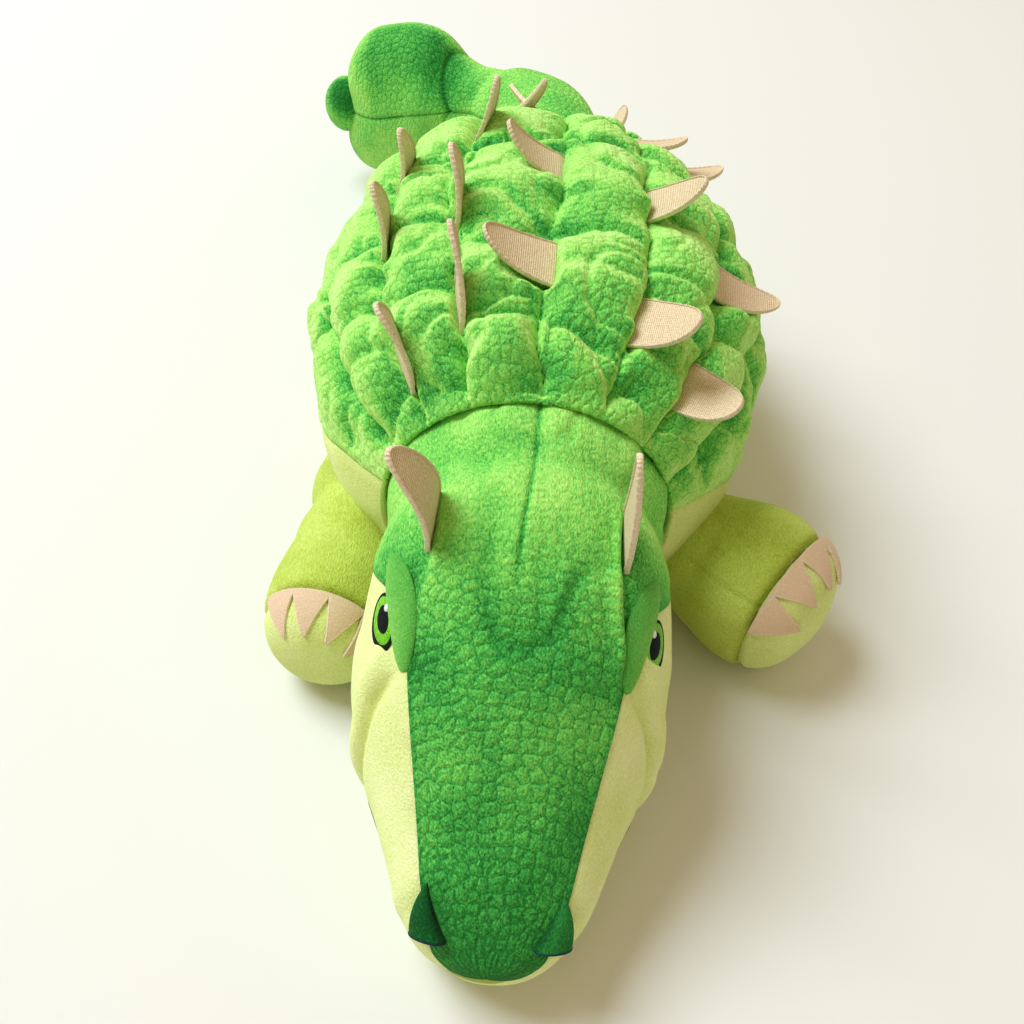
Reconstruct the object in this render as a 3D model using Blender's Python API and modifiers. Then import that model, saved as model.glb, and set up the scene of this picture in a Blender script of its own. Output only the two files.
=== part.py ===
"""A stuffed plush ankylosaurus that lies on its belly, in metres, +Z up, with its nose at -Y.

Each part of the body that moves by itself has a fibre filling inside sewn plush covers. A cover is an
open surface with Solidify. Every soft form is a row of rings along a spine: a ring is a superellipse
whose reach to the sides, upwards and downwards follows the named sizes. Parts move on ball joints:
the ball of one part turns in a socket that is cut in the larger one, with the clearance GAP.
The toy's own left side is at +X.
"""

import math

import bmesh
import bpy
import numpy as np
from mathutils import Matrix, Vector

# Cloth and fit
WALL = 0.002
GAP = 0.0003
PETAL_GAP = 0.0004
FILL_GAP = 0.0009
SEAM_SLIT = 0.0011
STRIP_LIFT = 0.0007
MERGE = 0.000001
TINY = 0.0001

# Torso, an egg that lies along Y
TORSO_HALF_WIDTH = 0.101
TORSO_FRONT = 0.128
TORSO_REAR = 0.140
TORSO_MIDDLE = 0.075
TORSO_RISE_HEIGHT = 0.086
TORSO_DROP_HEIGHT = 0.084
PLAN_POWERS = (2.08, 2.2)
SIDE_POWERS = (2.6, 2.3)
SECTION_POWERS = (2.2, 2.4)
TORSO_ROWS = 20

# Gathered back: puffs between lengthwise seams, counted outwards from the middle seam
PUFF_HEIGHT = 0.007
PUFF_LENGTH = 0.053
PUFF_START_SHARE = -0.76
SEAM_TURN = math.radians(22.5)
PUFF_COLUMNS = 5
FLANK_TURNS = (math.radians(76), math.radians(102), math.radians(98))
FLANK_PLACE_SHARES = (-1.0, -0.20, 1.0)

# Back spikes: cloth petals that stand in the seams
SPIKE_LENGTH = 0.0235
SPIKE_HEIGHT = 0.031
SPIKE_THICKNESS = 0.003
SPIKE_ROOT = 0.004
SPIKES = {
    "middle": (0, ((-0.37, -60, -2), (0.16, -47, -15), (0.74, -56, 26))),
    "left_inner": (1, ((-0.52, 26, -18), (0.05, 16, -34), (0.60, 68, 8), (0.84, 24, 30))),
    "right_inner": (-1, ((-0.53, 13, 22), (-0.11, 10, -2), (0.44, 32, -24), (0.69, 60, 0))),
    "left_outer": (2, ((-0.62, 8, -21), (-0.14, 66, 4), (0.60, 50, 15))),
    "right_outer": (-2, ((-0.65, 28, 12), (-0.12, 31, -12), (0.25, 42, -28))),
}

# Neck: a ball under the collar, on which the head turns and nods
NECK_PLACE = Vector((0, -0.105, 0.075))
NECK_BALL = 0.055
NECK_CORE = 0.030
NECK_STEM_TURN = math.radians(15)
NECK_HOLE_TURN = math.radians(29)
HEAD_HOLE_TURN = math.radians(38)
NECK_WAIST_TURN = math.radians(65.5)
COLLAR_TURN = math.radians(84)
COLLAR_REACH = 0.090

# Head: sizes along it, from the neck's ball to the nose
HEAD_LENGTH = 0.165
HEAD_HALF_WIDTH = 0.058
HEAD_HEIGHT = 0.128
HEAD_PLACE_SHARES = (0.138, 0.20, 0.30, 0.40, 0.50, 0.60, 0.70, 0.80, 0.90, 1.00)
HEAD_WIDTH_SHARES = (0.863, 0.930, 0.973, 1.000, 0.973, 0.884, 0.759, 0.643, 0.540, 0.470)
HEAD_TOP_SHARES = (0.977, 0.998, 0.972, 0.915, 0.836, 0.738, 0.621, 0.496, 0.400, 0.330)
HEAD_MIDDLE_SHARES = (0.586, 0.560, 0.500, 0.420, 0.364, 0.320, 0.297, 0.273, 0.242, 0.220)
HEAD_BOTTOM_SHARES = (0.195, 0.110, 0.030, -0.015, -0.023, -0.023, -0.023, -0.020, -0.010, 0.010)
HEAD_JAW_POWERS = (2.0, 1.45, 1.5, 1.8, 2.2, 2.2, 2.2, 2.2, 2.2, 2.2)
HEAD_PANEL_TURNS = (98, 86, 68, 48, 40, 40, 42, 44, 47, 50)
NOSE_SHARE = 0.86
HEAD_ROWS = 10
NOSE_ROWS = 4
BALL_ROWS = 6

# Face pieces, placed along the head and at a turn from its top
EYE_SHARE = 0.428
EYE_TURN = math.radians(55)
EYE_LENGTH = 0.020
EYE_WIDTH = 0.013
EYE_WALL = 0.0009
LID_SHARES = (0.31, 0.55)
LID_TURNS = (math.radians(56), math.radians(41))
LID_WIDTH = 0.010
LID_WALL = 0.0022
HORN_SHARE = 0.285
HORN_TURN = math.radians(35)
HORN_LENGTH = 0.022
HORN_HEIGHT = 0.043
HORNS = {"left": (-38, 12), "right": (16, 4)}
NOSTRIL_SHARE = 0.925
NOSTRIL_TURN = math.radians(50)
NOSTRIL_LENGTH = 0.017
NOSTRIL_HEIGHT = 0.010
NOSTRIL_THICKNESS = 0.0035
NOSTRIL_LEAN = 12

FACE_PARTS = ("eye", "horn", "nostril")

# Legs: a hip ball in the torso, a tube, and a bulb of a foot that ends in a sole cap
HIP_BALL = 0.031
HIP_HEIGHT = 0.033
LEG_RADIUS = 0.027
FOOT_RADIUS = 0.0295
FRONT_LEFT_FOOT_RADIUS = 0.0335
FRONT_RIGHT_FOOT_RADIUS = 0.0265
SOLE_SINK = 0.001
SOLE_DOME = 0.026
SOLE_TURN = math.radians(17)
FRONT_LEFT_REACH = 0.054
FRONT_RIGHT_REACH = 0.065
HIND_REACH = 0.047
FRONT_HIP_SHARES = (0.644, -0.510)
HIND_HIP_SHARES = (0.540, 0.470)
LEGS = {
    "front_left": (1, FRONT_HIP_SHARES, FRONT_LEFT_REACH, FRONT_LEFT_FOOT_RADIUS, 52, 20, 20),
    "front_right": (-1, FRONT_HIP_SHARES, FRONT_RIGHT_REACH, FRONT_RIGHT_FOOT_RADIUS, 9, 0, 22),
    "hind_left": (1, HIND_HIP_SHARES, HIND_REACH, FOOT_RADIUS, 152, 14, 14),
    "hind_right": (-1, HIND_HIP_SHARES, HIND_REACH, FOOT_RADIUS, 152, 14, 14),
}
LEG_TURNS = 12
SWEEP_TURNS = 14
SWEEP_ROOM = 1.18
SWEEP_MARGIN = math.radians(3)

# Claws: one strip of four felt points in the sole cap's seam
CLAW_COUNT = 4
CLAW_SPREAD = math.radians(66)
CLAW_SIDE = math.radians(8)
CLAW_WALL = 0.0018
CLAW_TIP_TURN = math.radians(56)
CLAW_BAND_SHARE = 0.16

# Tail: two stuffed lengths with a ball joint between them, along one curved path
TAIL_ROOT = Vector((0, 0.118, 0.086))
TAIL_BEND = Vector((-0.028, 0.212, 0.084))
TAIL_PATH = (
    TAIL_ROOT,
    Vector((0.003, 0.150, 0.092)),
    Vector((-0.006, 0.184, 0.092)),
    TAIL_BEND,
    Vector((-0.058, 0.236, 0.074)),
    Vector((-0.098, 0.256, 0.060)),
    Vector((-0.138, 0.264, 0.050)),
)
TAIL_ROOT_RADIUS = 0.024
TAIL_ROOT_BALL = 0.026
TAIL_BEND_RADIUS = 0.0235
TAIL_BALL = 0.0205
TAIL_NECK_RADIUS = 0.0185
TAIL_SWAY = math.radians(18)
END_ROUNDING = 0.85
TAIL_SEAM_TURN = math.radians(92)
CLUB_HEIGHT = 0.0475
CLUB_DEPTH = 0.025
CLUB_PLACE_SHARES = (0.0, 0.14, 0.28, 0.37, 0.46, 0.58, 0.72, 0.88, 1.0)
CLUB_HEIGHT_SHARES = (0.44, 0.43, 0.46, 0.58, 0.84, 0.98, 1.00, 0.92, 0.80)
CLUB_DEPTH_SHARES = (0.80, 0.78, 0.88, 0.96, 1.00, 1.00, 0.98, 0.88, 0.80)
CLUB_END_SHARE = 0.78
CLUB_NOTCH = 0.14
CLEFT_SHARE = 0.42
CLEFT_DEPTH = 0.009
LOBE_HEIGHT = 0.0175
LOBE_DEPTH = 0.013
LOBE_LENGTH = 0.016
JOINT_REACH = 0.060

# Colours as sRGB, with one roughness for each cloth
BACK_GREEN = (0.24, 0.52, 0.18)
PALE_LIME = (0.72, 0.84, 0.42)
LEG_LIME = (0.55, 0.72, 0.27)
LID_GREEN = (0.40, 0.66, 0.22)
TAN = (0.80, 0.71, 0.60)
EYE_GREEN = (0.45, 0.80, 0.18)
FIBRE_WHITE = (0.93, 0.93, 0.91)
PLUSH_ROUGHNESS = 0.9
WOVEN_ROUGHNESS = 0.8
THREAD_ROUGHNESS = 0.45

UP = Vector((0, 0, 1))


def start():
    """Empty the scene and make one collection for the toy and one for its cutters."""
    for old in list(bpy.data.objects):
        bpy.data.objects.remove(old)
    made = []
    for name in ("plush_ankylosaurus", "cutters"):
        group = bpy.data.collections.new(name)
        bpy.context.scene.collection.children.link(group)
        made.append(group)
    return made


TOY, CUTTERS = start()


def linear(channel):
    """An sRGB channel as linear light."""
    if channel <= 0.04045:
        return channel / 12.92
    return ((channel + 0.055) / 1.055) ** 2.4


def paint(piece, colour, roughness):
    """Give a piece its own cloth material."""
    material = bpy.data.materials.new(piece.name + "_cloth")
    material.use_nodes = True
    shader = material.node_tree.nodes["Principled BSDF"]
    shader.inputs["Base Color"].default_value = (*[linear(c) for c in colour], 1)
    shader.inputs["Roughness"].default_value = roughness
    shader.inputs["Metallic"].default_value = 0
    piece.data.materials.append(material)


def smooth(at, places, values):
    """A curve through the values at the places, with the slope at each place taken from its two
    neighbours (a cubic Hermite curve)."""
    places, values = np.asarray(places, float), np.asarray(values, float)
    slopes = np.gradient(values, places)
    at = np.clip(at, places[0], places[-1])
    k = np.clip(np.searchsorted(places, at, side="right") - 1, 0, len(places) - 2)
    step = places[k + 1] - places[k]
    t = (at - places[k]) / step
    start_part = (2 * t**3 - 3 * t**2 + 1) * values[k] + (t**3 - 2 * t**2 + t) * step * slopes[k]
    end_part = (3 * t**2 - 2 * t**3) * values[k + 1] + (t**3 - t**2) * step * slopes[k + 1]
    return start_part + end_part


def ring_points(spine, across, upward, width, rise, drop, turns, powers):
    """Points of rings along a spine. A turn is the angle from straight up, towards across. Sideways
    a ring reaches width, above the spine rise and below it drop, each as a superellipse of its
    power, and nothing goes under the ground."""
    sine, cosine = np.sin(turns), np.cos(turns)
    power = np.where(cosine > 0, 2 / powers[0], 2 / powers[1])
    side = width * np.sign(sine) * np.abs(sine) ** power
    height = np.where(cosine > 0, rise, drop) * np.sign(cosine) * np.abs(cosine) ** power
    points = spine + across * side[..., None] + upward * height[..., None]
    points[..., 2] = np.maximum(points[..., 2], 0)
    return points


def full_turns(count):
    """Turns once round a ring, without the last, which is the first again."""
    return np.linspace(-math.pi, math.pi, count, endpoint=False)[None, :]


def grid(name, points, closed=False, group=TOY):
    """A mesh between neighbouring rows of points, each quad split along its shorter diagonal. A
    closed one wraps round each row, and a row that has shrunk to one point ends in a fan."""
    rows, columns = points.shape[:2]
    index = np.arange(rows * columns).reshape(rows, columns)
    if closed:
        index = np.hstack([index, index[:, :1]])
    corners = (index[:-1, :-1], index[:-1, 1:], index[1:, 1:], index[1:, :-1])
    quads = np.stack(corners, axis=-1).reshape(-1, 4)
    mesh = bpy.data.meshes.new(name)
    mesh.from_pydata(points.reshape(-1, 3).tolist(), [], quads.tolist())
    work = bmesh.new()
    work.from_mesh(mesh)
    bmesh.ops.remove_doubles(work, verts=work.verts, dist=MERGE)
    bmesh.ops.triangulate(work, faces=work.faces, quad_method="SHORT_EDGE")
    work.to_mesh(mesh)
    work.free()
    mesh.shade_smooth()
    piece = bpy.data.objects.new(name, mesh)
    group.objects.link(piece)
    return piece


def solid(name, points, inset, group=TOY):
    """A closed form, moved inwards along its normals by inset, or outwards if that is negative."""
    piece = grid(name, points, closed=True, group=group)
    normals = [v.normal.copy() for v in piece.data.vertices]
    for vertex, normal in zip(piece.data.vertices, normals):
        vertex.co -= inset * normal
    return piece


def sheet(name, points, wall, outwards=False):
    """An open grid of points with a wall of cloth, inwards or outwards."""
    piece = grid(name, points)
    cloth = piece.modifiers.new("Cloth wall", "SOLIDIFY")
    cloth.thickness = wall
    cloth.offset = 1 if outwards else -1
    return piece


def cutter(piece):
    """Mark a piece as a cutter."""
    piece.hide_render = True
    piece.display_type = "WIRE"
    return piece


def cut(piece, *tools):
    """Take the tools away from a piece."""
    for tool in tools:
        taken = piece.modifiers.new("Cut by " + tool.name, "BOOLEAN")
        taken.operation = "DIFFERENCE"
        taken.solver = "EXACT"
        taken.object = tool


def clear_of(ball, step, turns):
    """Radius of a faceted ball that keeps GAP to a round one: its facets, step wide one way and a
    full turn over turns the other way, lie nearer to its centre than its corners do."""
    return (ball + GAP) / (math.cos(step / 2) * math.cos(math.pi / turns))


def socket(name, place, towards, ball, mouth, reach, turns=16):
    """A cutter for a ball joint: a ball with its clearance, and a cone that opens from its centre
    by the angle mouth towards the part that moves, out to reach."""
    back = np.linspace(math.pi, mouth, 7)
    round_part = clear_of(ball, back[0] - back[1], turns)
    along = round_part * np.cos(back)
    along = np.concatenate([along, [reach * math.cos(mouth), reach, reach]])
    radius = round_part * np.sin(back)
    radius = np.concatenate([radius, [reach * math.sin(mouth)] * 2, [0]])
    radius[0] = 0
    axis = Vector(towards).normalized()
    spine = np.array(place)[None, None] + along[:, None, None] * np.array(axis)[None, None]
    across = np.array(axis.cross(UP).normalized())
    upward = np.array(Vector(across).cross(axis))
    angle = full_turns(turns)
    side, height = radius[:, None] * np.sin(angle), radius[:, None] * np.cos(angle)
    points = spine + across * side[..., None] + upward * height[..., None]
    return cutter(grid(name, points, closed=True, group=CUTTERS))


# Torso


def torso_reach(y):
    """Shares of the torso's full width and height at y: each falls to 0 at its two ends."""
    ahead = y < 0
    share = np.clip(np.abs(y) / np.where(ahead, TORSO_FRONT, TORSO_REAR), 0, 1)
    plan = np.where(ahead, PLAN_POWERS[0], PLAN_POWERS[1])
    side = np.where(ahead, SIDE_POWERS[0], SIDE_POWERS[1])
    return (1 - share**plan) ** (1 / plan), (1 - share**side) ** (1 / side)


def puff(y, turn):
    """How far a point of the back lies below the tops of the puffs, as a share of their height: the
    puffs are drawn in at each lengthwise seam and at gathers across it, half a puff further along
    in every second column, and they fade out below the flank."""
    column = np.abs(turn) / SEAM_TURN
    at_seam = np.abs(np.sin(math.pi * column)) ** 0.6
    stagger = np.where(np.floor(column) % 2 > 0, 0.5, 0.0)
    along = (y - PUFF_START_SHARE * TORSO_FRONT) / PUFF_LENGTH + stagger
    across = np.abs(np.sin(math.pi * along)) ** 0.6
    crown = 0.25 * at_seam + 0.75 * at_seam * across
    fade = np.clip(PUFF_COLUMNS - column, 0, 1)
    return 1 - crown * fade


def torso_point(y, turn, out=0.0, puffed=True):
    """Points of the torso's outside at y and turn, moved outwards by out along the ring."""
    width, height = torso_reach(y)
    low = PUFF_HEIGHT * (puff(y, turn) if puffed else np.ones_like(y + turn))
    low = low * np.clip(2 - np.abs(turn) / FLANK_TURNS[1], 0, 1) - out
    spine = np.stack(np.broadcast_arrays(0 * y, y, TORSO_MIDDLE + 0 * y), axis=-1)
    return ring_points(
        spine,
        np.array((1, 0, 0)),
        np.array(UP),
        np.maximum(TORSO_HALF_WIDTH * width - low, 0),
        np.maximum(TORSO_RISE_HEIGHT * height - low, 0),
        np.maximum(TORSO_DROP_HEIGHT * height + out, 0),
        turn,
        SECTION_POWERS,
    )


def torso_rows(count=TORSO_ROWS):
    """Places along the torso, closer together at its ends, as one column."""
    angle = np.linspace(0, math.pi, count + 1)
    y = -np.cos(angle)
    return np.where(y < 0, y * TORSO_FRONT, y * TORSO_REAR)[:, None]


def flank_turn(y):
    """Turn of the seam between back cover and belly cover at y."""
    share = np.where(y < 0, y / TORSO_FRONT, y / TORSO_REAR)
    return smooth(share, FLANK_PLACE_SHARES, FLANK_TURNS)


def torso():
    """The two covers and the filling of the torso, cut open for the neck, the hips and the tail."""
    y = torso_rows()
    rim = flank_turn(y)
    slit = SEAM_SLIT / 2 / np.maximum(TORSO_HALF_WIDTH * torso_reach(y)[0], TORSO_RISE_HEIGHT / 4)
    inner = np.arange(-8, 9)[None, :] * SEAM_TURN / 4
    outer = np.linspace(0, 1, 6)[None, 1:]
    side = 2 * SEAM_TURN + (rim - slit - 2 * SEAM_TURN) * outer
    over = np.hstack([-side[:, ::-1], np.repeat(inner, len(y), axis=0), side])
    under = rim + slit + (2 * math.pi - 2 * (rim + slit)) * np.linspace(0, 1, 13)[None, :]
    back = sheet("back_cover", torso_point(y[1:-1], over[1:-1]), WALL)
    belly = sheet("belly_cover", torso_point(y[1:-1], under[1:-1]), WALL)
    ring = np.hstack([over[:, ::2], under[:, 2:-1:2]])
    filling = solid("torso_filling", torso_point(y[::2], ring[::2], puffed=False), WALL + FILL_GAP)
    paint(back, BACK_GREEN, PLUSH_ROUGHNESS)
    paint(belly, PALE_LIME, PLUSH_ROUGHNESS)
    paint(filling, FIBRE_WHITE, PLUSH_ROUGHNESS)
    ring = np.hstack([over, under[:, 1:-1]])
    clear = cutter(solid("torso_clearance", torso_point(y, ring), -PETAL_GAP, group=CUTTERS))
    return (back, belly, filling), clear


def petal_points(length, height, thickness, root, sweep=0):
    """Outside of an upright cloth petal, pointed like a leaf: rings across it from root below its
    foot to its tip, with X across its thickness and Y along its foot. Its length falls as a
    quarter of an oval, its thickness falls a little, and it slants along its foot by sweep degrees."""
    level = np.sin(np.linspace(0, math.pi / 2, 7))[:, None]
    angle = full_turns(8)
    half = length / 2 * np.sqrt(1 - level**2)
    thin = thickness / 2 * (1 - 0.35 * level) * np.where(level < 1, 1, 0)
    x = thin * np.sin(angle)
    y = half * np.cos(angle) + 0 * x
    z = -root + (height + root) * level + 0 * x
    y = y + z * math.tan(math.radians(sweep))
    rings = np.stack([x, y, z], axis=-1)
    foot = np.array([[[0, 0, -root]]]) + 0 * rings[:1]
    return np.concatenate([foot, rings])


def stand(points, place, along, out, lean):
    """Turn points into the frame of a seam: Y along it, Z outwards, leaning about it by degrees
    towards X."""
    along = Vector(along).normalized()
    out = Vector(out)
    out = (out - along * out.dot(along)).normalized()
    out = Matrix.Rotation(math.radians(lean), 3, along) @ out
    frame = np.array([along.cross(out), along, out])
    return points @ frame + np.array(place)


def seam_frame(form, place, turn, step):
    """Point, direction along and direction outwards of a form at a place and turn."""
    at, angle = np.array([[place]]), np.array([[turn]])
    here = form(at, angle)[0, 0]
    along = form(at + step, angle)[0, 0] - form(at - step, angle)[0, 0]
    round_it = form(at, angle + TINY)[0, 0] - form(at, angle - TINY)[0, 0]
    out = np.cross(round_it, along)
    return here, along, out


def spikes(clear):
    """The petals in the seams of the back, cut along their feet to the cover's outside."""
    for name, (seam, petals) in SPIKES.items():
        for number, (share, lean, sweep) in enumerate(petals, 1):
            y = share * (TORSO_FRONT if share < 0 else TORSO_REAR)
            place, along, out = seam_frame(torso_valley, y, seam * SEAM_TURN, TINY)
            shape = petal_points(SPIKE_LENGTH, SPIKE_HEIGHT, SPIKE_THICKNESS, SPIKE_ROOT, sweep)
            points = stand(shape, place, along, out, lean)
            spike = grid(f"{name}_spike_{number}", points, closed=True)
            cut(spike, clear)
            paint(spike, TAN, WOVEN_ROUGHNESS)


def torso_valley(y, turn):
    """Torso without its puffs, at the depth of its seams."""
    return torso_point(y, turn, puffed=False)


# Head


def head_sizes(share):
    """Width, top, widest height, bottom and jaw power of the head at a share of its length, with
    the nose rounded off past NOSE_SHARE."""
    end = np.clip((share - NOSE_SHARE) / (1 - NOSE_SHARE), 0, 1)
    nose = np.sqrt(1 - end**2)
    width = HEAD_HALF_WIDTH * smooth(share, HEAD_PLACE_SHARES, HEAD_WIDTH_SHARES)
    top = HEAD_HEIGHT * smooth(share, HEAD_PLACE_SHARES, HEAD_TOP_SHARES)
    middle = HEAD_HEIGHT * smooth(share, HEAD_PLACE_SHARES, HEAD_MIDDLE_SHARES)
    bottom = HEAD_HEIGHT * smooth(share, HEAD_PLACE_SHARES, HEAD_BOTTOM_SHARES)
    jaw = smooth(share, HEAD_PLACE_SHARES, HEAD_JAW_POWERS)
    return width * nose, (top - middle) * nose, middle, (middle - bottom) * nose, jaw


def neck_point(angle, turn):
    """Points of the neck's ball, an angle from its rear pole."""
    centre = NECK_PLACE.y + NECK_BALL * np.cos(angle)
    radius = NECK_BALL * np.sin(angle)
    spine = np.stack(np.broadcast_arrays(0 * angle, centre, NECK_PLACE.z + 0 * angle), axis=-1)
    return ring_points(
        spine, np.array((1, 0, 0)), np.array(UP), radius, radius, radius, turn, (2, 2)
    )


def head_point(share, turn):
    """Points of the head's outside, from the neck's waist to the nose."""
    width, rise, middle, drop, jaw = head_sizes(share)
    y = NECK_PLACE.y - HEAD_LENGTH * share
    spine = np.stack(np.broadcast_arrays(0 * y, y, middle), axis=-1)
    return ring_points(
        spine, np.array((1, 0, 0)), np.array(UP), width, rise, drop, turn, (2.1, jaw)
    )


def head_rows():
    """Places along the head as one column, nose first, closer together at the nose."""
    waist = NECK_BALL * math.cos(NECK_WAIST_TURN) / HEAD_LENGTH
    body = np.linspace(waist, NOSE_SHARE, HEAD_ROWS, endpoint=False)[1:]
    end = NOSE_SHARE + (1 - NOSE_SHARE) * np.sin(np.linspace(0, math.pi / 2, NOSE_ROWS + 1))
    return np.concatenate([body, end])[::-1, None]


def ball_rows(first):
    """Angles from the ball's rear pole, waist first, down to the first one."""
    return np.linspace(math.pi - NECK_WAIST_TURN, first, BALL_ROWS)[:, None]


def panel_turn(share):
    """Turn of the seam between the head's top cover and its face cover."""
    return np.radians(smooth(share, HEAD_PLACE_SHARES, HEAD_PANEL_TURNS))


def over_turns(rim, slit):
    """Turns of the top cover, from its seam on one side to that on the other."""
    return (rim - slit) * np.linspace(-1, 1, 13)[None, :]


def under_turns(rim, slit):
    """Turns of the face cover, from its seam on one side, below, to that on the other."""
    return rim + slit + 2 * (math.pi - rim - slit) * np.linspace(0, 1, 13)[None, :]


def whole_turns(rim, slit):
    """Every second turn of both covers, once round."""
    return np.hstack([over_turns(rim, slit)[:, ::2], under_turns(rim, slit)[:, 2:-1:2]])


def head_grid(turns_of, first_turn):
    """Points of the head and its ball, from the nose back to first_turn from the rear pole, over
    the turns that turns_of gives for each row's seam."""
    rows, ball = head_rows(), ball_rows(first_turn)
    rim = panel_turn(rows)
    ball_rim = 0 * ball + panel_turn(np.array([[HEAD_PLACE_SHARES[0]]]))
    slit = SEAM_SLIT / 2 / np.maximum(head_sizes(rows)[0], HEAD_HALF_WIDTH / 4)
    ball_slit = SEAM_SLIT / 2 / np.maximum(NECK_BALL * np.sin(ball), NECK_BALL / 4)
    front = head_point(rows, turns_of(rim, slit))
    rear = neck_point(ball, turns_of(ball_rim, ball_slit))
    return np.concatenate([front, rear])


def head():
    """The two covers and the filling of the head, hollow round the neck's core."""
    top = sheet("head_top_cover", head_grid(over_turns, HEAD_HOLE_TURN)[1:], WALL)
    under = sheet("head_face_cover", head_grid(under_turns, HEAD_HOLE_TURN)[1:], WALL)
    filling = solid("head_filling", head_grid(whole_turns, 0), WALL + FILL_GAP)
    hollow = socket(
        "neck_hollow", NECK_PLACE, (0, 1, 0), NECK_CORE, NECK_HOLE_TURN, COLLAR_REACH
    )
    cut(filling, hollow)
    paint(top, BACK_GREEN, PLUSH_ROUGHNESS)
    paint(under, PALE_LIME, PLUSH_ROUGHNESS)
    paint(filling, FIBRE_WHITE, PLUSH_ROUGHNESS)


def neck():
    """The stuffing of the neck: a ball in the head, with a stem that widens into the torso."""
    end = NECK_BALL - GAP
    ball = np.linspace(math.pi, NECK_STEM_TURN, 9)
    face = np.linspace(NECK_STEM_TURN, 0, 4)
    height = np.concatenate([NECK_CORE * np.cos(ball), end * np.cos(face)])
    radius = np.concatenate([NECK_CORE * np.sin(ball), end * np.sin(face)])
    mesh = bpy.data.meshes.new("neck_filling")
    radius[0] = radius[-1] = 0
    profile = [(r, 0, z) for r, z in zip(radius[::-1], height[::-1])]
    edges = [(i, i + 1) for i in range(len(profile) - 1)]
    mesh.from_pydata(profile, edges, [])
    piece = bpy.data.objects.new("neck_filling", mesh)
    TOY.objects.link(piece)
    piece.location = NECK_PLACE
    piece.rotation_euler = (math.radians(-90), 0, 0)
    turned = piece.modifiers.new("Turned", "SCREW")
    turned.steps = 16
    turned.render_steps = 16
    turned.use_merge_vertices = True
    turned.merge_threshold = MERGE
    paint(piece, FIBRE_WHITE, PLUSH_ROUGHNESS)


def patch(name, form, place, turn, length, width, wall, lift=GAP):
    """A domed oval of embroidery or padding on a form: rings round its centre, measured along the
    form and round it, with a wall of thread or cloth outwards."""
    here, along, out = seam_frame(form, place, turn, TINY)
    per_place = np.linalg.norm(along) / (2 * TINY)
    around = form(np.array([[place]]), np.array([[turn + TINY]]))[0, 0] - here
    per_turn = np.linalg.norm(around) / TINY
    ring = np.linspace(0, 1, 4)[:, None]
    angle = full_turns(12)
    places = place + ring * np.cos(angle) * length / 2 / per_place
    turns = turn + ring * np.sin(angle) * width / 2 / per_turn
    return lifted(name, form, places, turns, wall, lift, closed=True)


def lifted(name, form, places, turns, wall, lift, closed=False):
    """A sheet over the given places and turns of a form, lifted off it, with an outward wall."""
    points = form(places, turns)
    along = form(places + TINY, turns) - form(places - TINY, turns)
    round_it = form(places, turns + TINY) - form(places, turns - TINY)
    out = np.cross(round_it, along)
    size = np.linalg.norm(out, axis=-1, keepdims=True)
    out = out / np.where(size > 0, size, 1)
    piece = grid(name, points + lift * out, closed=closed)
    work = bmesh.new()
    work.from_mesh(piece.data)
    middle = len(work.faces) // 2
    work.faces.ensure_lookup_table()
    centre = out[out.shape[0] // 2, out.shape[1] // 2]
    if work.faces[middle].normal.dot(Vector(centre)) < 0:
        bmesh.ops.reverse_faces(work, faces=work.faces)
    work.to_mesh(piece.data)
    work.free()
    cloth = piece.modifiers.new("Cloth wall", "SOLIDIFY")
    cloth.thickness = wall
    cloth.offset = 1
    return piece


def head_outward(share, turn):
    """The head's surface with its length counted from nose to neck, so that outward is outward."""
    return head_point(-share, turn)


def face(clear):
    """Eyes, eyelids, nostril flaps and horns, on both sides."""
    for name, side in (("left", 1), ("right", -1)):
        eye = patch(
            f"{name}_eye", head_outward, -EYE_SHARE, side * EYE_TURN, EYE_LENGTH, EYE_WIDTH, EYE_WALL
        )
        paint(eye, EYE_GREEN, THREAD_ROUGHNESS)
        lid = eyelid(f"{name}_eyelid", side)
        paint(lid, LID_GREEN, PLUSH_ROUGHNESS)
        lean, sweep = HORNS[name]
        sizes = (HORN_LENGTH, HORN_HEIGHT, SPIKE_THICKNESS, SPIKE_ROOT, sweep)
        head_petal(f"{name}_horn", HORN_SHARE, side * HORN_TURN, sizes, lean, clear, TAN)
        sizes = (NOSTRIL_LENGTH, NOSTRIL_HEIGHT, NOSTRIL_THICKNESS, SPIKE_ROOT)
        turn, lean = side * NOSTRIL_TURN, side * NOSTRIL_LEAN
        head_petal(f"{name}_nostril_flap", NOSTRIL_SHARE, turn, sizes, lean, clear, BACK_GREEN)


def head_petal(name, share, turn, sizes, lean, clear, colour):
    """A cloth petal that stands on the head, cut along its foot to the head's outside."""
    place, along, out = seam_frame(head_outward, -share, turn, TINY)
    piece = grid(name, stand(petal_points(*sizes), place, along, out, lean), closed=True)
    cut(piece, clear)
    paint(piece, colour, WOVEN_ROUGHNESS)


def eyelid(name, side):
    """A padded crescent over an eye: a strip along the brow that narrows to both ends."""
    along = np.linspace(0, 1, 9)[:, None]
    over = np.linspace(-0.5, 0.5, 4)[None, :]
    places = LID_SHARES[0] + (LID_SHARES[1] - LID_SHARES[0]) * along
    bow = np.sin(math.pi * along)
    middle = LID_TURNS[0] + (LID_TURNS[1] - LID_TURNS[0]) * along - 0.10 * bow
    width = LID_WIDTH / HEAD_HALF_WIDTH * (0.15 + 0.85 * bow)
    turns = side * (middle + width * over)
    places = -(places + 0 * turns)
    return lifted(name, head_outward, places, turns, LID_WALL, STRIP_LIFT)


# Legs


def leg_frame(side, heading):
    """Direction of a leg and the direction across it, for a heading from -Y towards its side."""
    angle = math.radians(heading)
    ahead = Vector((side * math.sin(angle), -math.cos(angle), 0))
    return ahead, ahead.cross(UP)


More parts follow.
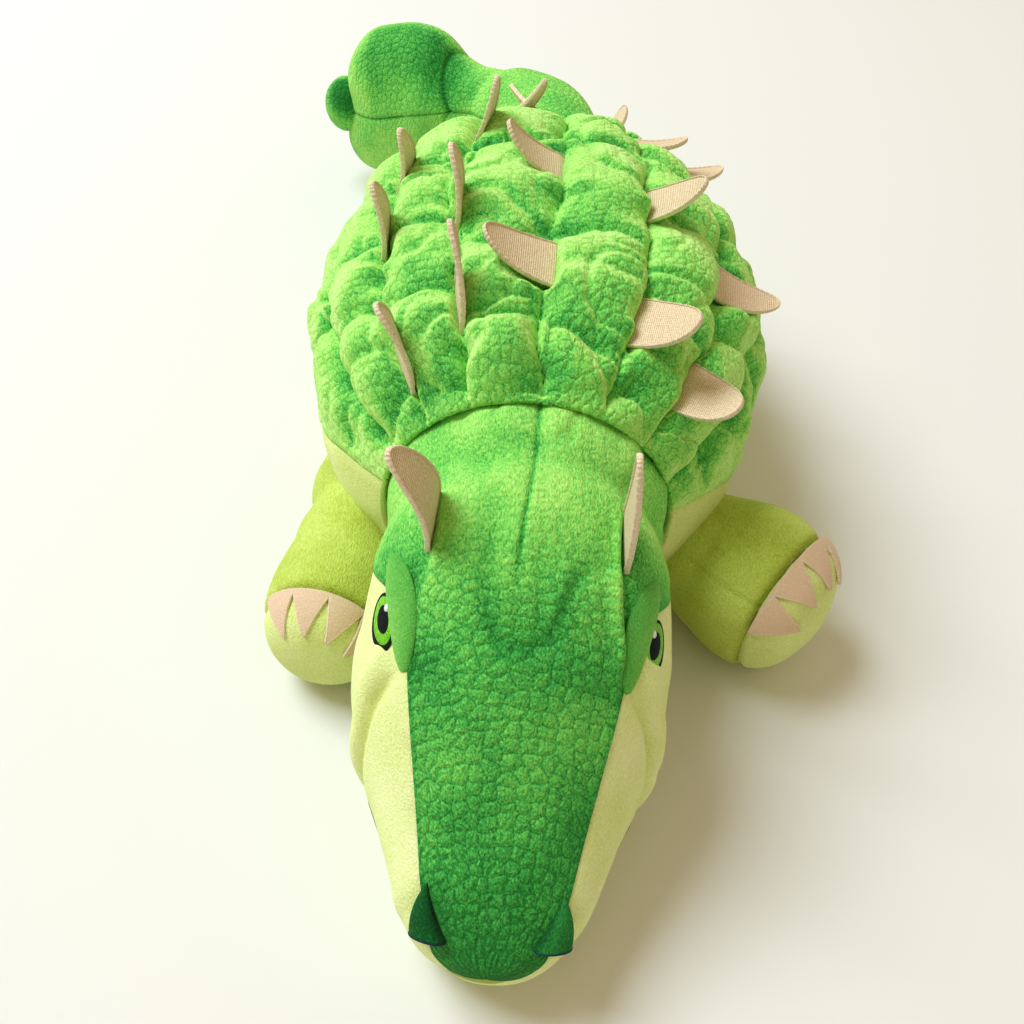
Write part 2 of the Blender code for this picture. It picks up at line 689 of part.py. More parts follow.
def leg_profile(reach, foot):
    """Distance along the leg, radius and height of its spine, from behind the hip ball, along the
    tube and round the foot's dome, with the row at which the sole cap's seam lies."""
    hip = np.linspace(math.pi, math.asin(LEG_RADIUS / HIP_BALL), 7)
    tube = np.linspace(0, 1, 3)[1:]
    start_tube = HIP_BALL * math.cos(hip[-1])
    dome = np.array([SOLE_TURN, *np.linspace(SOLE_TURN, math.pi / 2, 5)[1:]])
    tube_radius = LEG_RADIUS + (foot - LEG_RADIUS) * np.sin(tube * math.pi / 2)
    along = np.concatenate(
        [HIP_BALL * np.cos(hip), start_tube + (reach - start_tube) * tube, reach + SOLE_DOME * np.sin(dome)]
    )
    radius = np.concatenate([HIP_BALL * np.sin(hip), tube_radius, foot * np.cos(dome)])
    radius[0] = radius[-1] = 0
    height = HIP_HEIGHT + (foot - SOLE_SINK - HIP_HEIGHT) * np.clip(along / reach, 0, 1)
    seam = len(hip) + len(tube)
    return along[:, None], radius[:, None], height[:, None], seam


def leg_rings(hip, frame, along, radius, height, turns):
    """Rings of a leg, upright across its direction."""
    ahead, across = (np.array(v) for v in frame)
    spine = np.array(hip) + along[..., None] * ahead
    spine = spine + (height[..., None] - hip[2]) * np.array(UP)
    return ring_points(spine, across, np.array(UP), radius, radius, radius, turns, (2, 2))


def leg(name, side, hip_shares, reach, foot, heading, inwards, outwards):
    """A leg's cover, sole cap, claws and filling, and the cutter of the space that it sweeps."""
    hip_y = hip_shares[1] * (TORSO_FRONT if hip_shares[1] < 0 else TORSO_REAR)
    hip = (side * hip_shares[0] * TORSO_HALF_WIDTH, hip_y, HIP_HEIGHT)
    frame = leg_frame(side, heading)
    along, radius, height, seam = leg_profile(reach, foot)
    turns = full_turns(LEG_TURNS)
    closed_turns = np.linspace(-math.pi, math.pi, LEG_TURNS + 1)[None, :]
    rings = leg_rings(hip, frame, along, radius, height, turns)[:, ::2]
    cover_along = along.copy()
    cover_along[seam] -= SEAM_SLIT / 2
    cap_along = along.copy()
    cap_along[seam] += SEAM_SLIT / 2
    cover_rings = leg_rings(hip, frame, cover_along, radius, height, closed_turns)
    cap_rings = leg_rings(hip, frame, cap_along, radius, height, closed_turns)
    cover = sheet(f"{name}_leg_cover", cover_rings[2 : seam + 1], WALL)
    cap = sheet(f"{name}_sole_cap", cap_rings[seam:], WALL)
    filling = solid(f"{name}_leg_filling", rings, WALL + FILL_GAP)
    paint(cover, LEG_LIME, PLUSH_ROUGHNESS)
    paint(cap, PALE_LIME, PLUSH_ROUGHNESS)
    paint(filling, FIBRE_WHITE, PLUSH_ROUGHNESS)
    claws(f"{name}_claws", side, hip, frame, reach, foot)
    hang(hip, name)
    return hip_sweep(name, side, hip, heading, inwards, outwards)


def claws(name, side, hip, frame, reach, foot):
    """Four felt points that hang over the sole cap from its seam, joined along the seam."""
    steps = 4 * CLAW_COUNT
    column = np.linspace(0, CLAW_COUNT, steps + 1)[None, :]
    point = 1 - np.abs(2 * (column % 1) - 1)
    reach_turn = CLAW_BAND_SHARE + (1 - CLAW_BAND_SHARE) * point**0.8
    row = np.linspace(0, 1, 4)[:, None]
    dome = SOLE_TURN + (CLAW_TIP_TURN - SOLE_TURN) * row * reach_turn
    turns = side * CLAW_SIDE + CLAW_SPREAD * (2 * column / CLAW_COUNT - 1) + 0 * dome

    def dome_point(angle, turn):
        along = reach + SOLE_DOME * np.sin(angle)
        height = foot - SOLE_SINK + 0 * along
        return leg_rings(hip, frame, along, foot * np.cos(angle), height, turn)

    piece = lifted(name, dome_point, dome, turns, CLAW_WALL, STRIP_LIFT)
    paint(piece, TAN, WOVEN_ROUGHNESS)


def hip_sweep(name, side, hip, heading, inwards, outwards):
    """The space that a leg needs in the torso: its hip ball, and its tube at every angle of its
    swing, as an oval that widens away from the hip."""
    half = math.radians((inwards + outwards) / 2) + SWEEP_MARGIN
    middle = heading + (outwards - inwards) / 2 * (1 if heading < 90 else -1)
    ahead, across = leg_frame(side, middle)
    back = np.linspace(math.pi, math.asin(LEG_RADIUS / HIP_BALL) + half, 6)
    ball = clear_of(HIP_BALL, back[0] - back[1], SWEEP_TURNS)
    wide = FOOT_RADIUS * SWEEP_ROOM / math.cos(half) + COLLAR_REACH * math.tan(half)
    along = np.concatenate([ball * np.cos(back), [COLLAR_REACH, COLLAR_REACH]])
    width = np.concatenate([ball * np.sin(back), [wide, 0]])
    rise = np.concatenate([ball * np.sin(back), [FOOT_RADIUS * SWEEP_ROOM, 0]])
    width[0] = rise[0] = 0
    turns = full_turns(SWEEP_TURNS)
    spine = np.array(hip) + along[:, None, None] * np.array(ahead)
    side_part = (width[:, None] * np.sin(turns))[..., None] * np.array(across)
    up_part = (rise[:, None] * np.cos(turns))[..., None] * np.array(UP)
    return cutter(grid(f"{name}_hip_sweep", spine + side_part + up_part, closed=True, group=CUTTERS))


# Tail


def path_point(at, points):
    """Place and direction on a smooth curve through points, at from 0 to their count less 1."""
    places = np.arange(len(points))
    spots = np.array(points)
    place = np.stack([smooth(at, places, spots[:, k]) for k in range(3)], axis=-1)
    step = np.stack(
        [smooth(at + TINY, places, spots[:, k]) - smooth(at - TINY, places, spots[:, k]) for k in range(3)],
        axis=-1,
    )
    step[..., 2] = 0
    step = step / np.linalg.norm(step, axis=-1, keepdims=True)
    return place, step


def tail_rings(spots, width, rise, turns, cleft=0.0):
    """Rings of the tail, upright across its path: spots holds each row's place and direction. A
    cleft draws a row's middle height in towards the body and from both sides, so that the end
    swells into an upper and a lower lobe."""
    place, step = spots
    across = np.cross(step, np.array(UP))
    level = rise * np.cos(turns)
    drawn = cleft * np.exp(-((level / (CLEFT_SHARE * CLUB_HEIGHT)) ** 2))
    side = (width * (1 - CLUB_NOTCH * drawn) * np.sin(turns))[..., None] * across[:, None]
    points = place[:, None] + side + level[..., None] * np.array(UP)
    points = points - (CLEFT_DEPTH * drawn)[..., None] * step[:, None]
    points[..., 2] = np.maximum(points[..., 2], 0)
    return points


def ball_spots(centre, step, along):
    """Row places and directions of a ball joint's rows along a straight axis."""
    place = np.array(centre) + along[:, None] * np.array(step)
    return place, np.repeat(np.array(step)[None], len(along), axis=0)


def tail_turns():
    """Turns of the upper and of the lower covers of the tail, between the seams on its sides."""
    slit = SEAM_SLIT / 2 / TAIL_ROOT_RADIUS
    rim = TAIL_SEAM_TURN
    over = (rim - slit) * np.linspace(-1, 1, 11)[None, :]
    under = rim + slit + 2 * (math.pi - rim - slit) * np.linspace(0, 1, 11)[None, :]
    return over, under


def halves(name, points_of):
    """The upper and the lower cover of a length of tail, with a seam along both sides."""
    pieces = []
    for word, turns in zip(("upper", "lower"), tail_turns()):
        pieces.append(sheet(f"{name}_{word}_cover", points_of(turns), WALL))
        paint(pieces[-1], BACK_GREEN, PLUSH_ROUGHNESS)
    return pieces


def tail_root():
    """The stuffed length of tail between its ball in the torso and its bend."""
    first, step = path_point(np.array([0.0]), TAIL_PATH)
    neck_turn = math.asin(0.9 * TAIL_ROOT_RADIUS / TAIL_ROOT_BALL)
    angle = np.linspace(math.pi, neck_turn, 6)
    ball = ball_spots(first[0], step[0], TAIL_ROOT_BALL * np.cos(angle))
    at = np.linspace(0.70, 3.25, 8)
    tube = path_point(at, TAIL_PATH)
    spots = (np.concatenate([ball[0], tube[0]]), np.concatenate([ball[1], tube[1]]))
    swell = np.linspace(0, 1, len(at))
    body = TAIL_ROOT_RADIUS + (TAIL_BEND_RADIUS - TAIL_ROOT_RADIUS) * swell
    radius = np.concatenate([TAIL_ROOT_BALL * np.sin(angle), body])[:, None]
    radius[0] = 0
    inside = [*range(len(spots[0]) - 3), len(spots[0]) - 4]
    closing = (spots[0][inside], spots[1][inside])
    shut = radius[inside].copy()
    shut[-2] *= END_ROUNDING
    shut[-1] = 0
    filling = solid("tail_root_filling", tail_rings(closing, shut, shut, full_turns(12)), WALL + FILL_GAP)
    paint(filling, FIBRE_WHITE, PLUSH_ROUGHNESS)

    def cover(turns):
        rows = (spots[0][2:], spots[1][2:])
        return tail_rings(rows, radius[2:], radius[2:], turns)

    return [*halves("tail_root", cover), filling]


def club_rows():
    """Rows of the club end, from its ball at the tail's bend to the end of the club: places and
    directions, half depth and half height."""
    first, step = path_point(np.array([3.0]), TAIL_PATH)
    neck_turn = math.asin(TAIL_NECK_RADIUS / TAIL_BALL)
    angle = np.linspace(math.pi, neck_turn, 6)
    ball = ball_spots(first[0], step[0], TAIL_BALL * np.cos(angle))
    share = np.concatenate([np.linspace(0.14, CLUB_END_SHARE, 7), rounded_end(CLUB_END_SHARE, 5)])
    tube = path_point(3 + 3 * share, TAIL_PATH)
    end = np.sqrt(1 - np.clip((share - CLUB_END_SHARE) / (1 - CLUB_END_SHARE), 0, 1) ** 2)
    height = CLUB_HEIGHT * smooth(share, CLUB_PLACE_SHARES, CLUB_HEIGHT_SHARES) * end
    depth = CLUB_DEPTH * smooth(share, CLUB_PLACE_SHARES, CLUB_DEPTH_SHARES) * end
    notch = np.clip((share - CLUB_PLACE_SHARES[4]) / (1 - CLUB_PLACE_SHARES[4]), 0, 1) ** 1.5
    places = np.concatenate([ball[0], tube[0]]), np.concatenate([ball[1], tube[1]])
    round_part = TAIL_BALL * np.sin(angle)
    round_part[0] = 0
    deep = np.concatenate([round_part, depth])[:, None]
    tall = np.concatenate([round_part, height])[:, None]
    cleft = np.concatenate([0 * angle, notch])[:, None]
    return places, deep, tall, cleft


def rounded_end(start_share, count):
    """Shares from a start to 1, closer together at the end."""
    return start_share + (1 - start_share) * np.sin(np.linspace(0, math.pi / 2, count + 1)[1:])


def tail_club():
    """The club end of the tail: two covers, the filling and the small lobe at its end."""
    spots, deep, tall, cleft = club_rows()
    whole = tail_rings(spots, deep, tall, full_turns(16), cleft)
    filling = solid("tail_club_filling", whole, WALL + FILL_GAP)
    paint(filling, FIBRE_WHITE, PLUSH_ROUGHNESS)

    def cover(turns):
        rows = (spots[0][2:], spots[1][2:])
        return tail_rings(rows, deep[2:], tall[2:], turns, cleft[2:])

    halves("tail_club", cover)
    outside = tail_rings(spots, deep, tall, np.hstack(tail_turns()), cleft)
    end_lobe(spots, cutter(solid("club_clearance", outside, -PETAL_GAP, group=CUTTERS)))


def end_lobe(spots, clear):
    """The small padded lobe between the two lobes of the club's end, cut to the club's outside."""
    place, step = spots[0][-1], spots[1][-1]
    angle = np.linspace(0, math.pi, 8)
    along = -np.cos(angle) * LOBE_LENGTH - CLEFT_DEPTH + LOBE_LENGTH / 4
    row_spots = (place + along[:, None] * step, np.repeat(step[None], len(along), axis=0))
    bulge = np.sin(angle)[:, None]
    bulge[0] = bulge[-1] = 0
    turns = full_turns(12)
    points = tail_rings(row_spots, LOBE_DEPTH * bulge, LOBE_HEIGHT * bulge, turns)
    lobe = grid("tail_club_end_lobe", points, closed=True)
    cut(lobe, clear)
    paint(lobe, BACK_GREEN, PLUSH_ROUGHNESS)


def hang(pivot, *starts):
    """Put the origin of each piece whose name begins with one of the starts on its joint."""
    for piece in TOY.objects:
        if piece.name.startswith(starts):
            piece.data.transform(Matrix.Translation(-Vector(pivot)))
            piece.location = pivot


def main():
    torso_pieces, torso_clear = torso()
    spikes(torso_clear)
    collar = socket(
        "collar", NECK_PLACE, (0, -1, 0), NECK_BALL, COLLAR_TURN, COLLAR_REACH, turns=22
    )
    sweeps = [leg(name, *sizes) for name, sizes in LEGS.items()]
    root_step = path_point(np.array([0.0]), TAIL_PATH)[1][0]
    root_mouth = math.asin(0.9 * TAIL_ROOT_RADIUS / TAIL_ROOT_BALL) + TAIL_SWAY
    root = socket(
        "tail_root_socket", TAIL_ROOT, root_step, TAIL_ROOT_BALL, root_mouth, JOINT_REACH
    )
    for piece in torso_pieces:
        cut(piece, collar, *sweeps, root)
    head()
    neck()
    fine = full_turns(48)
    head_whole = np.concatenate([head_point(head_rows(), fine), neck_point(ball_rows(0), fine)])
    face(cutter(solid("head_clearance", head_whole, -GAP, group=CUTTERS)))
    bend_place, bend_step = path_point(np.array([3.0]), TAIL_PATH)
    bend_mouth = math.asin(TAIL_NECK_RADIUS / TAIL_BALL) + TAIL_SWAY
    bend = socket(
        "tail_bend_socket", bend_place[0], bend_step[0], TAIL_BALL, bend_mouth, JOINT_REACH
    )
    for piece in tail_root():
        cut(piece, bend)
    tail_club()
    hang(TAIL_ROOT, "tail_root")
    hang(bend_place[0], "tail_club")
    hang(NECK_PLACE, "head", *[side + part for side in ("left_", "right_") for part in FACE_PARTS])


main()
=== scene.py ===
"""A stuffed plush ankylosaurus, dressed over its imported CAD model, in metres, +Z up, nose at -Y.

Each cover is a fine numpy grid over the form that its CAD node has, with its gathers, folds and seams
as real relief, and it is closed by a plain inner wall. The scales pressed into the green plush are in
its material, on a flat map of each cover. The toy's own left side is at +X.
"""

import itertools
import math

import bpy
import numpy as np
from mathutils import Matrix, Vector


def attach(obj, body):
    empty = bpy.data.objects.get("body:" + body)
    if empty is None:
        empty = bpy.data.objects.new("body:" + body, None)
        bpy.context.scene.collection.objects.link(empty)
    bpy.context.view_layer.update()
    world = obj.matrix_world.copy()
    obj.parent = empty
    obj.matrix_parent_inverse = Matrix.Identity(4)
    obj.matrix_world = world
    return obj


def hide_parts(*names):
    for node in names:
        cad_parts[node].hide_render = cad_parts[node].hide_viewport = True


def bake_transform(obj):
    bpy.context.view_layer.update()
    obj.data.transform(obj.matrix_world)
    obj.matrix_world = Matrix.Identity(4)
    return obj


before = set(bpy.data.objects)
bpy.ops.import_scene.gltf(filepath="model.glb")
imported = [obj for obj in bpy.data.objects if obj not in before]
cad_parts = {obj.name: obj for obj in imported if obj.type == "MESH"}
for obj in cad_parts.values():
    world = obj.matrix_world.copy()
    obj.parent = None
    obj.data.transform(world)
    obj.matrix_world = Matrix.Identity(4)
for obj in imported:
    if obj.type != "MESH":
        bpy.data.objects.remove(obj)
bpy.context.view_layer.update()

ACROSS = np.array((1.0, 0.0, 0.0))
UP = np.array((0.0, 0.0, 1.0))
MM = 0.001
TINY = 0.0001
INNER_ROWS = 24

# Torso, an egg that lies along Y
TORSO_HALF_WIDTH = 0.101
TORSO_FRONT = 0.128
TORSO_REAR = 0.140
TORSO_MIDDLE = 0.075
TORSO_UP = 0.086
TORSO_DOWN = 0.084
TORSO_ROWS = 330
PLAN_POWERS = (2.08, 2.2)
SIDE_POWERS = (2.6, 2.3)
SECTION_POWERS = (2.2, 2.4)
FLANK_PLACES = (-1.0, -0.20, 1.0)
FLANK_TURNS = np.radians((76, 102, 98))
SEAM_TURN = math.radians(22.5)
PUFF_COLUMNS = 5
PUFF_HEIGHT = 0.007
BACK_WALL = PUFF_HEIGHT + 8 * MM
BELLY_WALL = 4 * MM
# Where creases cross each column of the back, in mm from the torso's middle, counted outwards
LEFT_CREASES = (
    (-190, -112, -84, -28, 47, 96, 200),
    (-190, -98, -60, 6, 46, 84, 200),
    (-190, -89, -51, -16, 29, 71, 200),
    (-190, -84, -42, 4, 52, 92, 200),
    (-190, -90, -40, 8, 60, 98, 200),
)
RIGHT_CREASES = (
    (-190, -108, -78, -32, 39, 92, 200),
    (-190, -94, -60, -15, 32, 106, 200),
    (-190, -93, -61, -19, 30, 74, 200),
    (-190, -82, -40, 0, 46, 90, 200),
    (-190, -88, -44, 10, 55, 96, 200),
)

# Head, from the neck's ball to the nose
NECK = Vector((0, -0.105, 0.075))
NECK_BALL = 0.055
NECK_CORE = 0.030
NECK_WAIST_TURN = math.radians(65.5)
COLLAR_BALL = NECK_BALL + 0.4 * MM
COLLAR_SLOPE = 0.105
COLLAR_REACH = 0.09
HEAD_LENGTH = 0.165
HEAD_HALF_WIDTH = 0.058
HEAD_HEIGHT = 0.128
HEAD_PLACES = (0.138, 0.20, 0.30, 0.40, 0.50, 0.60, 0.70, 0.80, 0.90, 1.00)
HEAD_WIDTHS = (0.863, 0.930, 0.973, 1.000, 0.973, 0.884, 0.759, 0.643, 0.540, 0.470)
HEAD_TOPS = (0.977, 0.998, 0.972, 0.915, 0.836, 0.738, 0.621, 0.496, 0.400, 0.330)
HEAD_MIDDLES = (0.586, 0.560, 0.500, 0.420, 0.364, 0.320, 0.297, 0.273, 0.242, 0.220)
HEAD_BOTTOMS = (0.195, 0.110, 0.030, -0.015, -0.023, -0.023, -0.023, -0.020, -0.010, 0.010)
HEAD_JAWS = (2.0, 1.45, 1.5, 1.8, 2.2, 2.2, 2.2, 2.2, 2.2, 2.2)
HEAD_TOP_POWER = 2.1
HEAD_WALL_SHARE = 0.9
PANEL_TURNS = (98, 86, 68, 48, 40, 40, 42, 44, 47, 50)
PANEL_WRAP = 52
PANEL_LAP = 0.016
NOSE_SHARE = 0.86
RIDGE_PLACES = (0.18, 0.30, 0.42, 0.52, 0.58)
RIDGE_TURNS = (36, 34, 34.6, 40, 42)
# Pile level of the head's top along its length: painted shade, light at the rear and darker towards the
# nose
LAY_PLACES = (-0.2, 0.10, 0.28, 0.40, 0.52, 0.70, 1.0)
HEAD_SHADE_LEVELS = (0.58, 0.62, 0.62, 0.50, 0.36, 0.32, 0.08)
CHEEK_FOLD_TURNS = np.radians((40, 60, 80, 120))
CHEEK_FOLD_PLACES = (0.54, 0.56, 0.60, 0.625)
EYE_PLACE = (0.440, math.radians(53))
EYE_TILT = math.radians(20)
EYE_POWER = 1.8
LID_PLACES = (0.31, 0.55)
LID_TURNS = np.radians((54, 42))
LID_HALF_WIDTH = 6.8 * MM
LID_HEIGHT = 2.0 * MM
NOSTRIL_SHARES = (0.872, 0.940)
NOSTRIL_TURNS = (41, 30)
NOSTRIL_HEIGHT = 5.4 * MM
MOUTH_CORNER = (0.620, math.radians(80))
MOUTH_LENGTH = 0.32
MOUTH_THREAD = 0.4 * MM

# Legs: side, hip, length of the tube, radius of the foot, and heading from -Y towards the leg's side
LEGS = {
    "front_left": (1, (0.644, -0.510), 0.054, 0.0335, 52),
    "front_right": (-1, (0.644, -0.510), 0.065, 0.0265, 9),
    "hind_left": (1, (0.540, 0.470), 0.047, 0.0295, 152),
    "hind_right": (-1, (0.540, 0.470), 0.047, 0.0295, 152),
}
LEG_COLUMNS = 200
LEG_SEAM_TURNS = (0.95, -0.75)
HIP_BALL = 0.031
HIP_HEIGHT = 0.033
LEG_RADIUS = 0.027
SOLE_SINK = 0.001
SOLE_DOME = 0.026
SOLE_TURN = math.radians(17)
CLAW_COUNT = 4
CLAW_SPREAD = math.radians(66)
CLAW_SIDE = math.radians(8)
CLAW_TIP_TURN = math.radians(56)
CLAW_THICKNESS = 1.4 * MM

# Tail, two lengths along one curved path
TAIL_PATH = (
    (0.000, 0.118, 0.086),
    (0.003, 0.150, 0.092),
    (-0.006, 0.184, 0.092),
    (-0.028, 0.212, 0.084),
    (-0.058, 0.236, 0.074),
    (-0.098, 0.256, 0.060),
    (-0.138, 0.264, 0.050),
)
TAIL_STEP = 0.034
TAIL_ROOT_RADIUS = 0.024
TAIL_ROOT_BALL = 0.026
TAIL_SEAM_TURN = math.radians(92)
TAIL_BEND = (2.45, 3.55)
CLUB_HEIGHT = 0.0475
CLUB_DEPTH = 0.025
CLUB_START = 3
CLUB_PLACES = (0.0, 0.14, 0.28, 0.37, 0.46, 0.58, 0.72, 0.88, 1.0)
CLUB_HEIGHTS = (0.44, 0.43, 0.46, 0.58, 0.84, 0.98, 1.00, 0.92, 0.80)
CLUB_DEPTHS = (0.80, 0.78, 0.88, 0.96, 1.00, 1.00, 0.98, 0.88, 0.80)
CLUB_END = 0.78
CLUB_NOTCH = 0.14
CLEFT_SHARE = 0.42
CLEFT_DEPTH = 0.009
LOBE_HALF_LENGTH = 14 * MM
LOBE_HALF_WIDTH = 13 * MM
LOBE_HALF_HEIGHT = 17.5 * MM

# Petals: seam, then place, lean and sweep of each
SPIKE_SIZES = (0.0235, 0.031)
SPIKES = {
    "middle": (0, ((-0.37, -60, -2), (0.16, -47, -15), (0.74, -56, 26))),
    "left_inner": (1, ((-0.52, 26, -18), (0.05, 16, -34), (0.60, 68, 8), (0.84, 24, 30))),
    "right_inner": (-1, ((-0.53, 13, 22), (-0.11, 10, -2), (0.44, 32, -24), (0.69, 60, 0))),
    "left_outer": (2, ((-0.62, 8, -21), (-0.14, 66, 4), (0.60, 50, 15))),
    "right_outer": (-2, ((-0.65, 28, 12), (-0.12, 31, -12), (0.25, 42, -28))),
}
HORN_SIZES = (0.022, 0.043)
HORN_PLACE = (0.285, math.radians(35))
HORNS = {"left": (-38, 12, 0.02), "right": (16, 4, 0.10)}
PETAL_ROOT = 5 * MM


# Numbers over whole arrays


def smooth(at, places, values):
    """A cubic Hermite curve through the values, with the slope at each place from its neighbours."""
    places, values = np.asarray(places, float), np.asarray(values, float)
    slopes = np.gradient(values, places)
    at = np.clip(at, places[0], places[-1])
    k = np.clip(np.searchsorted(places, at, side="right") - 1, 0, len(places) - 2)
    step = places[k + 1] - places[k]
    t = (at - places[k]) / step
    near = (2 * t**3 - 3 * t**2 + 1) * values[k] + (t**3 - 2 * t**2 + t) * step * slopes[k]
    far = (3 * t**2 - 2 * t**3) * values[k + 1] + (t**3 - t**2) * step * slopes[k + 1]
    return near + far


def ease(value, start, end):
    """0 before start, 1 after end, and 3t^2 - 2t^3 between them."""
    t = np.clip((value - start) / (end - start), 0, 1)
    return t * t * (3 - 2 * t)


def bump(value, width):
    """A bell, 1 at 0, that falls as exp(-(value / width)^2)."""
    return np.exp(-((value / width) ** 2))


def powered(value, power):
    """The size of a value to a power, with the value's sign."""
    return np.sign(value) * np.abs(value) ** power


def stacked(*parts):
    """Arrays and numbers, spread to one shape, as the last axis of one array."""
    return np.stack(np.broadcast_arrays(*parts), axis=-1)


def unit(vectors):
    """The vectors at length 1. One of length 0 stays as it is."""
    size = np.linalg.norm(vectors, axis=-1, keepdims=True)
    return vectors / np.where(size > 0, size, 1)


def circle(count):
    """Turns all the way round, evenly spread, as one row."""
    return np.linspace(-math.pi, math.pi, count, endpoint=False)[None, :]


def from_top(turns):
    """How far turns are from straight up, either way round."""
    return np.abs((turns + math.pi) % (2 * math.pi) - math.pi)


def scatter(cell, seed):
    """A number from 0 to 1 for each whole-number cell: its mixed and folded product with primes."""
    mixed = cell[..., 0] * 73856093 ^ cell[..., 1] * 19349663 ^ cell[..., 2] * 83492791 ^ seed * 265443
    mixed = (mixed ^ (mixed >> 13)) * 127412617
    mixed = (mixed ^ (mixed >> 16)) * 63689
    return ((mixed ^ (mixed >> 11)) & 0xFFFFFF) / float(0x1000000)


def noise(points, size, seed):
    """Smooth noise from -1 to 1 with features of a size: each cell's eight corners have scattered
    values, mixed along each axis by 3t^2 - 2t^3."""
    spot = points / size
    low = np.floor(spot).astype(np.int64)
    part = spot - low
    part = part * part * (3 - 2 * part)
    total = np.zeros(points.shape[:-1])
    for corner in itertools.product((0, 1), repeat=3):
        share = np.prod(np.where(np.array(corner) > 0, part, 1 - part), axis=-1)
        total += share * scatter(low + np.array(corner), seed)
    return 2 * total - 1


def creases(points, size, seed, width):
    """Thin winding lines: a bell round the places where noise of a size passes through 0."""
    return bump(noise(points, size, seed), width)


def pleats(round_it, away, size, seed):
    """Noise in lines that run out of a seam: it changes over a size along the seam, and three times
    as slowly away from it."""
    return noise(stacked(round_it, 0.3 * away, 0), size, seed)


def normals(points, wrap=False):
    """Outward unit normals of a grid: the cross product of its steps along rows and columns, turned
    away from the grid's middle."""
    over = np.concatenate([points[:, -1:], points, points[:, :1]], axis=1) if wrap else points
    over = np.gradient(over, axis=1)
    if wrap:
        over = over[:, 1:-1]
    out = unit(np.cross(np.gradient(points, axis=0), over))
    middle = points.reshape(-1, 3).mean(axis=0)
    return out if np.sum(out * (points - middle)) > 0 else -out


def grounded(points):
    """The points, with none under the ground."""
    points[..., 2] = np.maximum(points[..., 2], 0)
    return points


def closed_ends(points):
    """The points, with the first and the last row each brought to one point."""
    points[0] = points[0].mean(axis=0)
    points[-1] = points[-1].mean(axis=0)
    return points


def ring_points(spine, across, width, rise, drop, turns, powers):
    """Rings along a spine: at a turn from straight up, a superellipse that reaches width sideways,
    rise above the spine and drop below it, and never under the ground."""
    sine, cosine = np.sin(turns), np.cos(turns)
    power = np.where(cosine > 0, 2 / powers[0], 2 / powers[1])
    side = width * powered(sine, power)
    height = np.where(cosine > 0, rise, drop) * powered(cosine, power)
    return grounded(spine + across * side[..., None] + UP * height[..., None])


def cord(line, across, wide, outward, high):
    """A thin cord along a line. Its section is an oval, wide metres each way across and high metres
    each way outwards."""
    turn = circle(8)
    sideways = (wide * np.cos(turn))[..., None] * across[..., None, :]
    return line[:, None] + sideways + (high * np.sin(turn))[..., None] * outward[..., None, :]


# Meshes


def quads_of(points, wrap_rows, wrap_columns):
    """Corner numbers of a grid's faces, and of its triangles at a row that is one point."""
    rows, columns = points.shape[:2]
    index = np.arange(rows * columns).reshape(rows, columns)
    for row in (0, -1):
        if np.ptp(points[row], axis=0).max() < TINY / 100:
            index[row] = index[row, 0]
    if wrap_rows:
        index = np.vstack([index, index[:1]])
    if wrap_columns:
        index = np.hstack([index, index[:, :1]])
    corners = (index[:-1, :-1], index[:-1, 1:], index[1:, 1:], index[1:, :-1])
    quads = np.stack(corners, axis=-1).reshape(-1, 4)
    top, base = quads[:, 0] == quads[:, 1], quads[:, 2] == quads[:, 3]
    triangles = np.concatenate([quads[top & ~base][:, [0, 2, 3]], quads[base & ~top][:, :3]])
    return quads[~top & ~base], triangles


def piece(name, body, cloths, *grids, slot, stands_for=(), fill=None):
    """One closed object from grids, each of the cloth at its own place in cloths. A grid is its points
    and its values by name, and it closes along its columns unless two more flags, for rows and for
    columns, say otherwise. Faces are turned outwards by the sign of each grid's volume."""
    vertices, faces, cloth_of, values, start = [], [], [], {}, 0
    for cloth, (points, extra, *wraps) in enumerate(grids):
        quads, triangles = quads_of(points, *(wraps or (False, True)))
        flat = points.reshape(-1, 3)
        solid = np.concatenate([quads[:, :3], quads[:, [0, 2, 3]], triangles])
        a, b, c = (flat[solid[:, k]] - flat.mean(axis=0) for k in range(3))
        if np.sum(a * np.cross(b, c)) < 0:
            quads, triangles = quads[:, ::-1], triangles[:, ::-1]
        used = np.unique(np.concatenate([quads.ravel(), triangles.ravel()]))
        place = np.full(len(flat), -1)
        place[used] = np.arange(len(used)) + start
        vertices.append(flat[used])
        for kind in (quads, triangles):
            faces.extend(place[kind].tolist())
            cloth_of.extend([cloth] * len(kind))
        for key, value in extra.items():
            whole = np.broadcast_to(value, points.shape[:2] + np.shape(value)[2:])
            values.setdefault(key, []).append(whole.reshape(len(flat), -1)[used])
        start += len(used)
    mesh = bpy.data.meshes.new(name)
    mesh.from_pydata(np.concatenate(vertices).tolist(), [], faces)
    for cloth in cloths:
        mesh.materials.append(cloth)
    mesh.polygons.foreach_set("material_index", np.array(cloth_of, np.int32))
    for key, parts in values.items():
        whole = np.concatenate(parts)
        if key == "UVMap":
            corner = np.empty(len(mesh.loops), np.int32)
            mesh.loops.foreach_get("vertex_index", corner)
            mesh.uv_layers.new(name=key).data.foreach_set("uv", whole[corner].ravel())
        else:
            mesh.attributes.new(key, "FLOAT", "POINT").data.foreach_set("value", whole.ravel())
    mesh.shade_smooth()
    made = bpy.data.objects.new(name, mesh)
    bpy.context.scene.collection.objects.link(made)
    if body:
        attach(made, body)
    if stands_for:
        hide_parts(*stands_for)
    return made


def walled(values, inner):
    """Values of a cover's outside, followed by 0 for its inner wall."""
    return np.hstack([values, np.zeros(inner.shape[:2])])


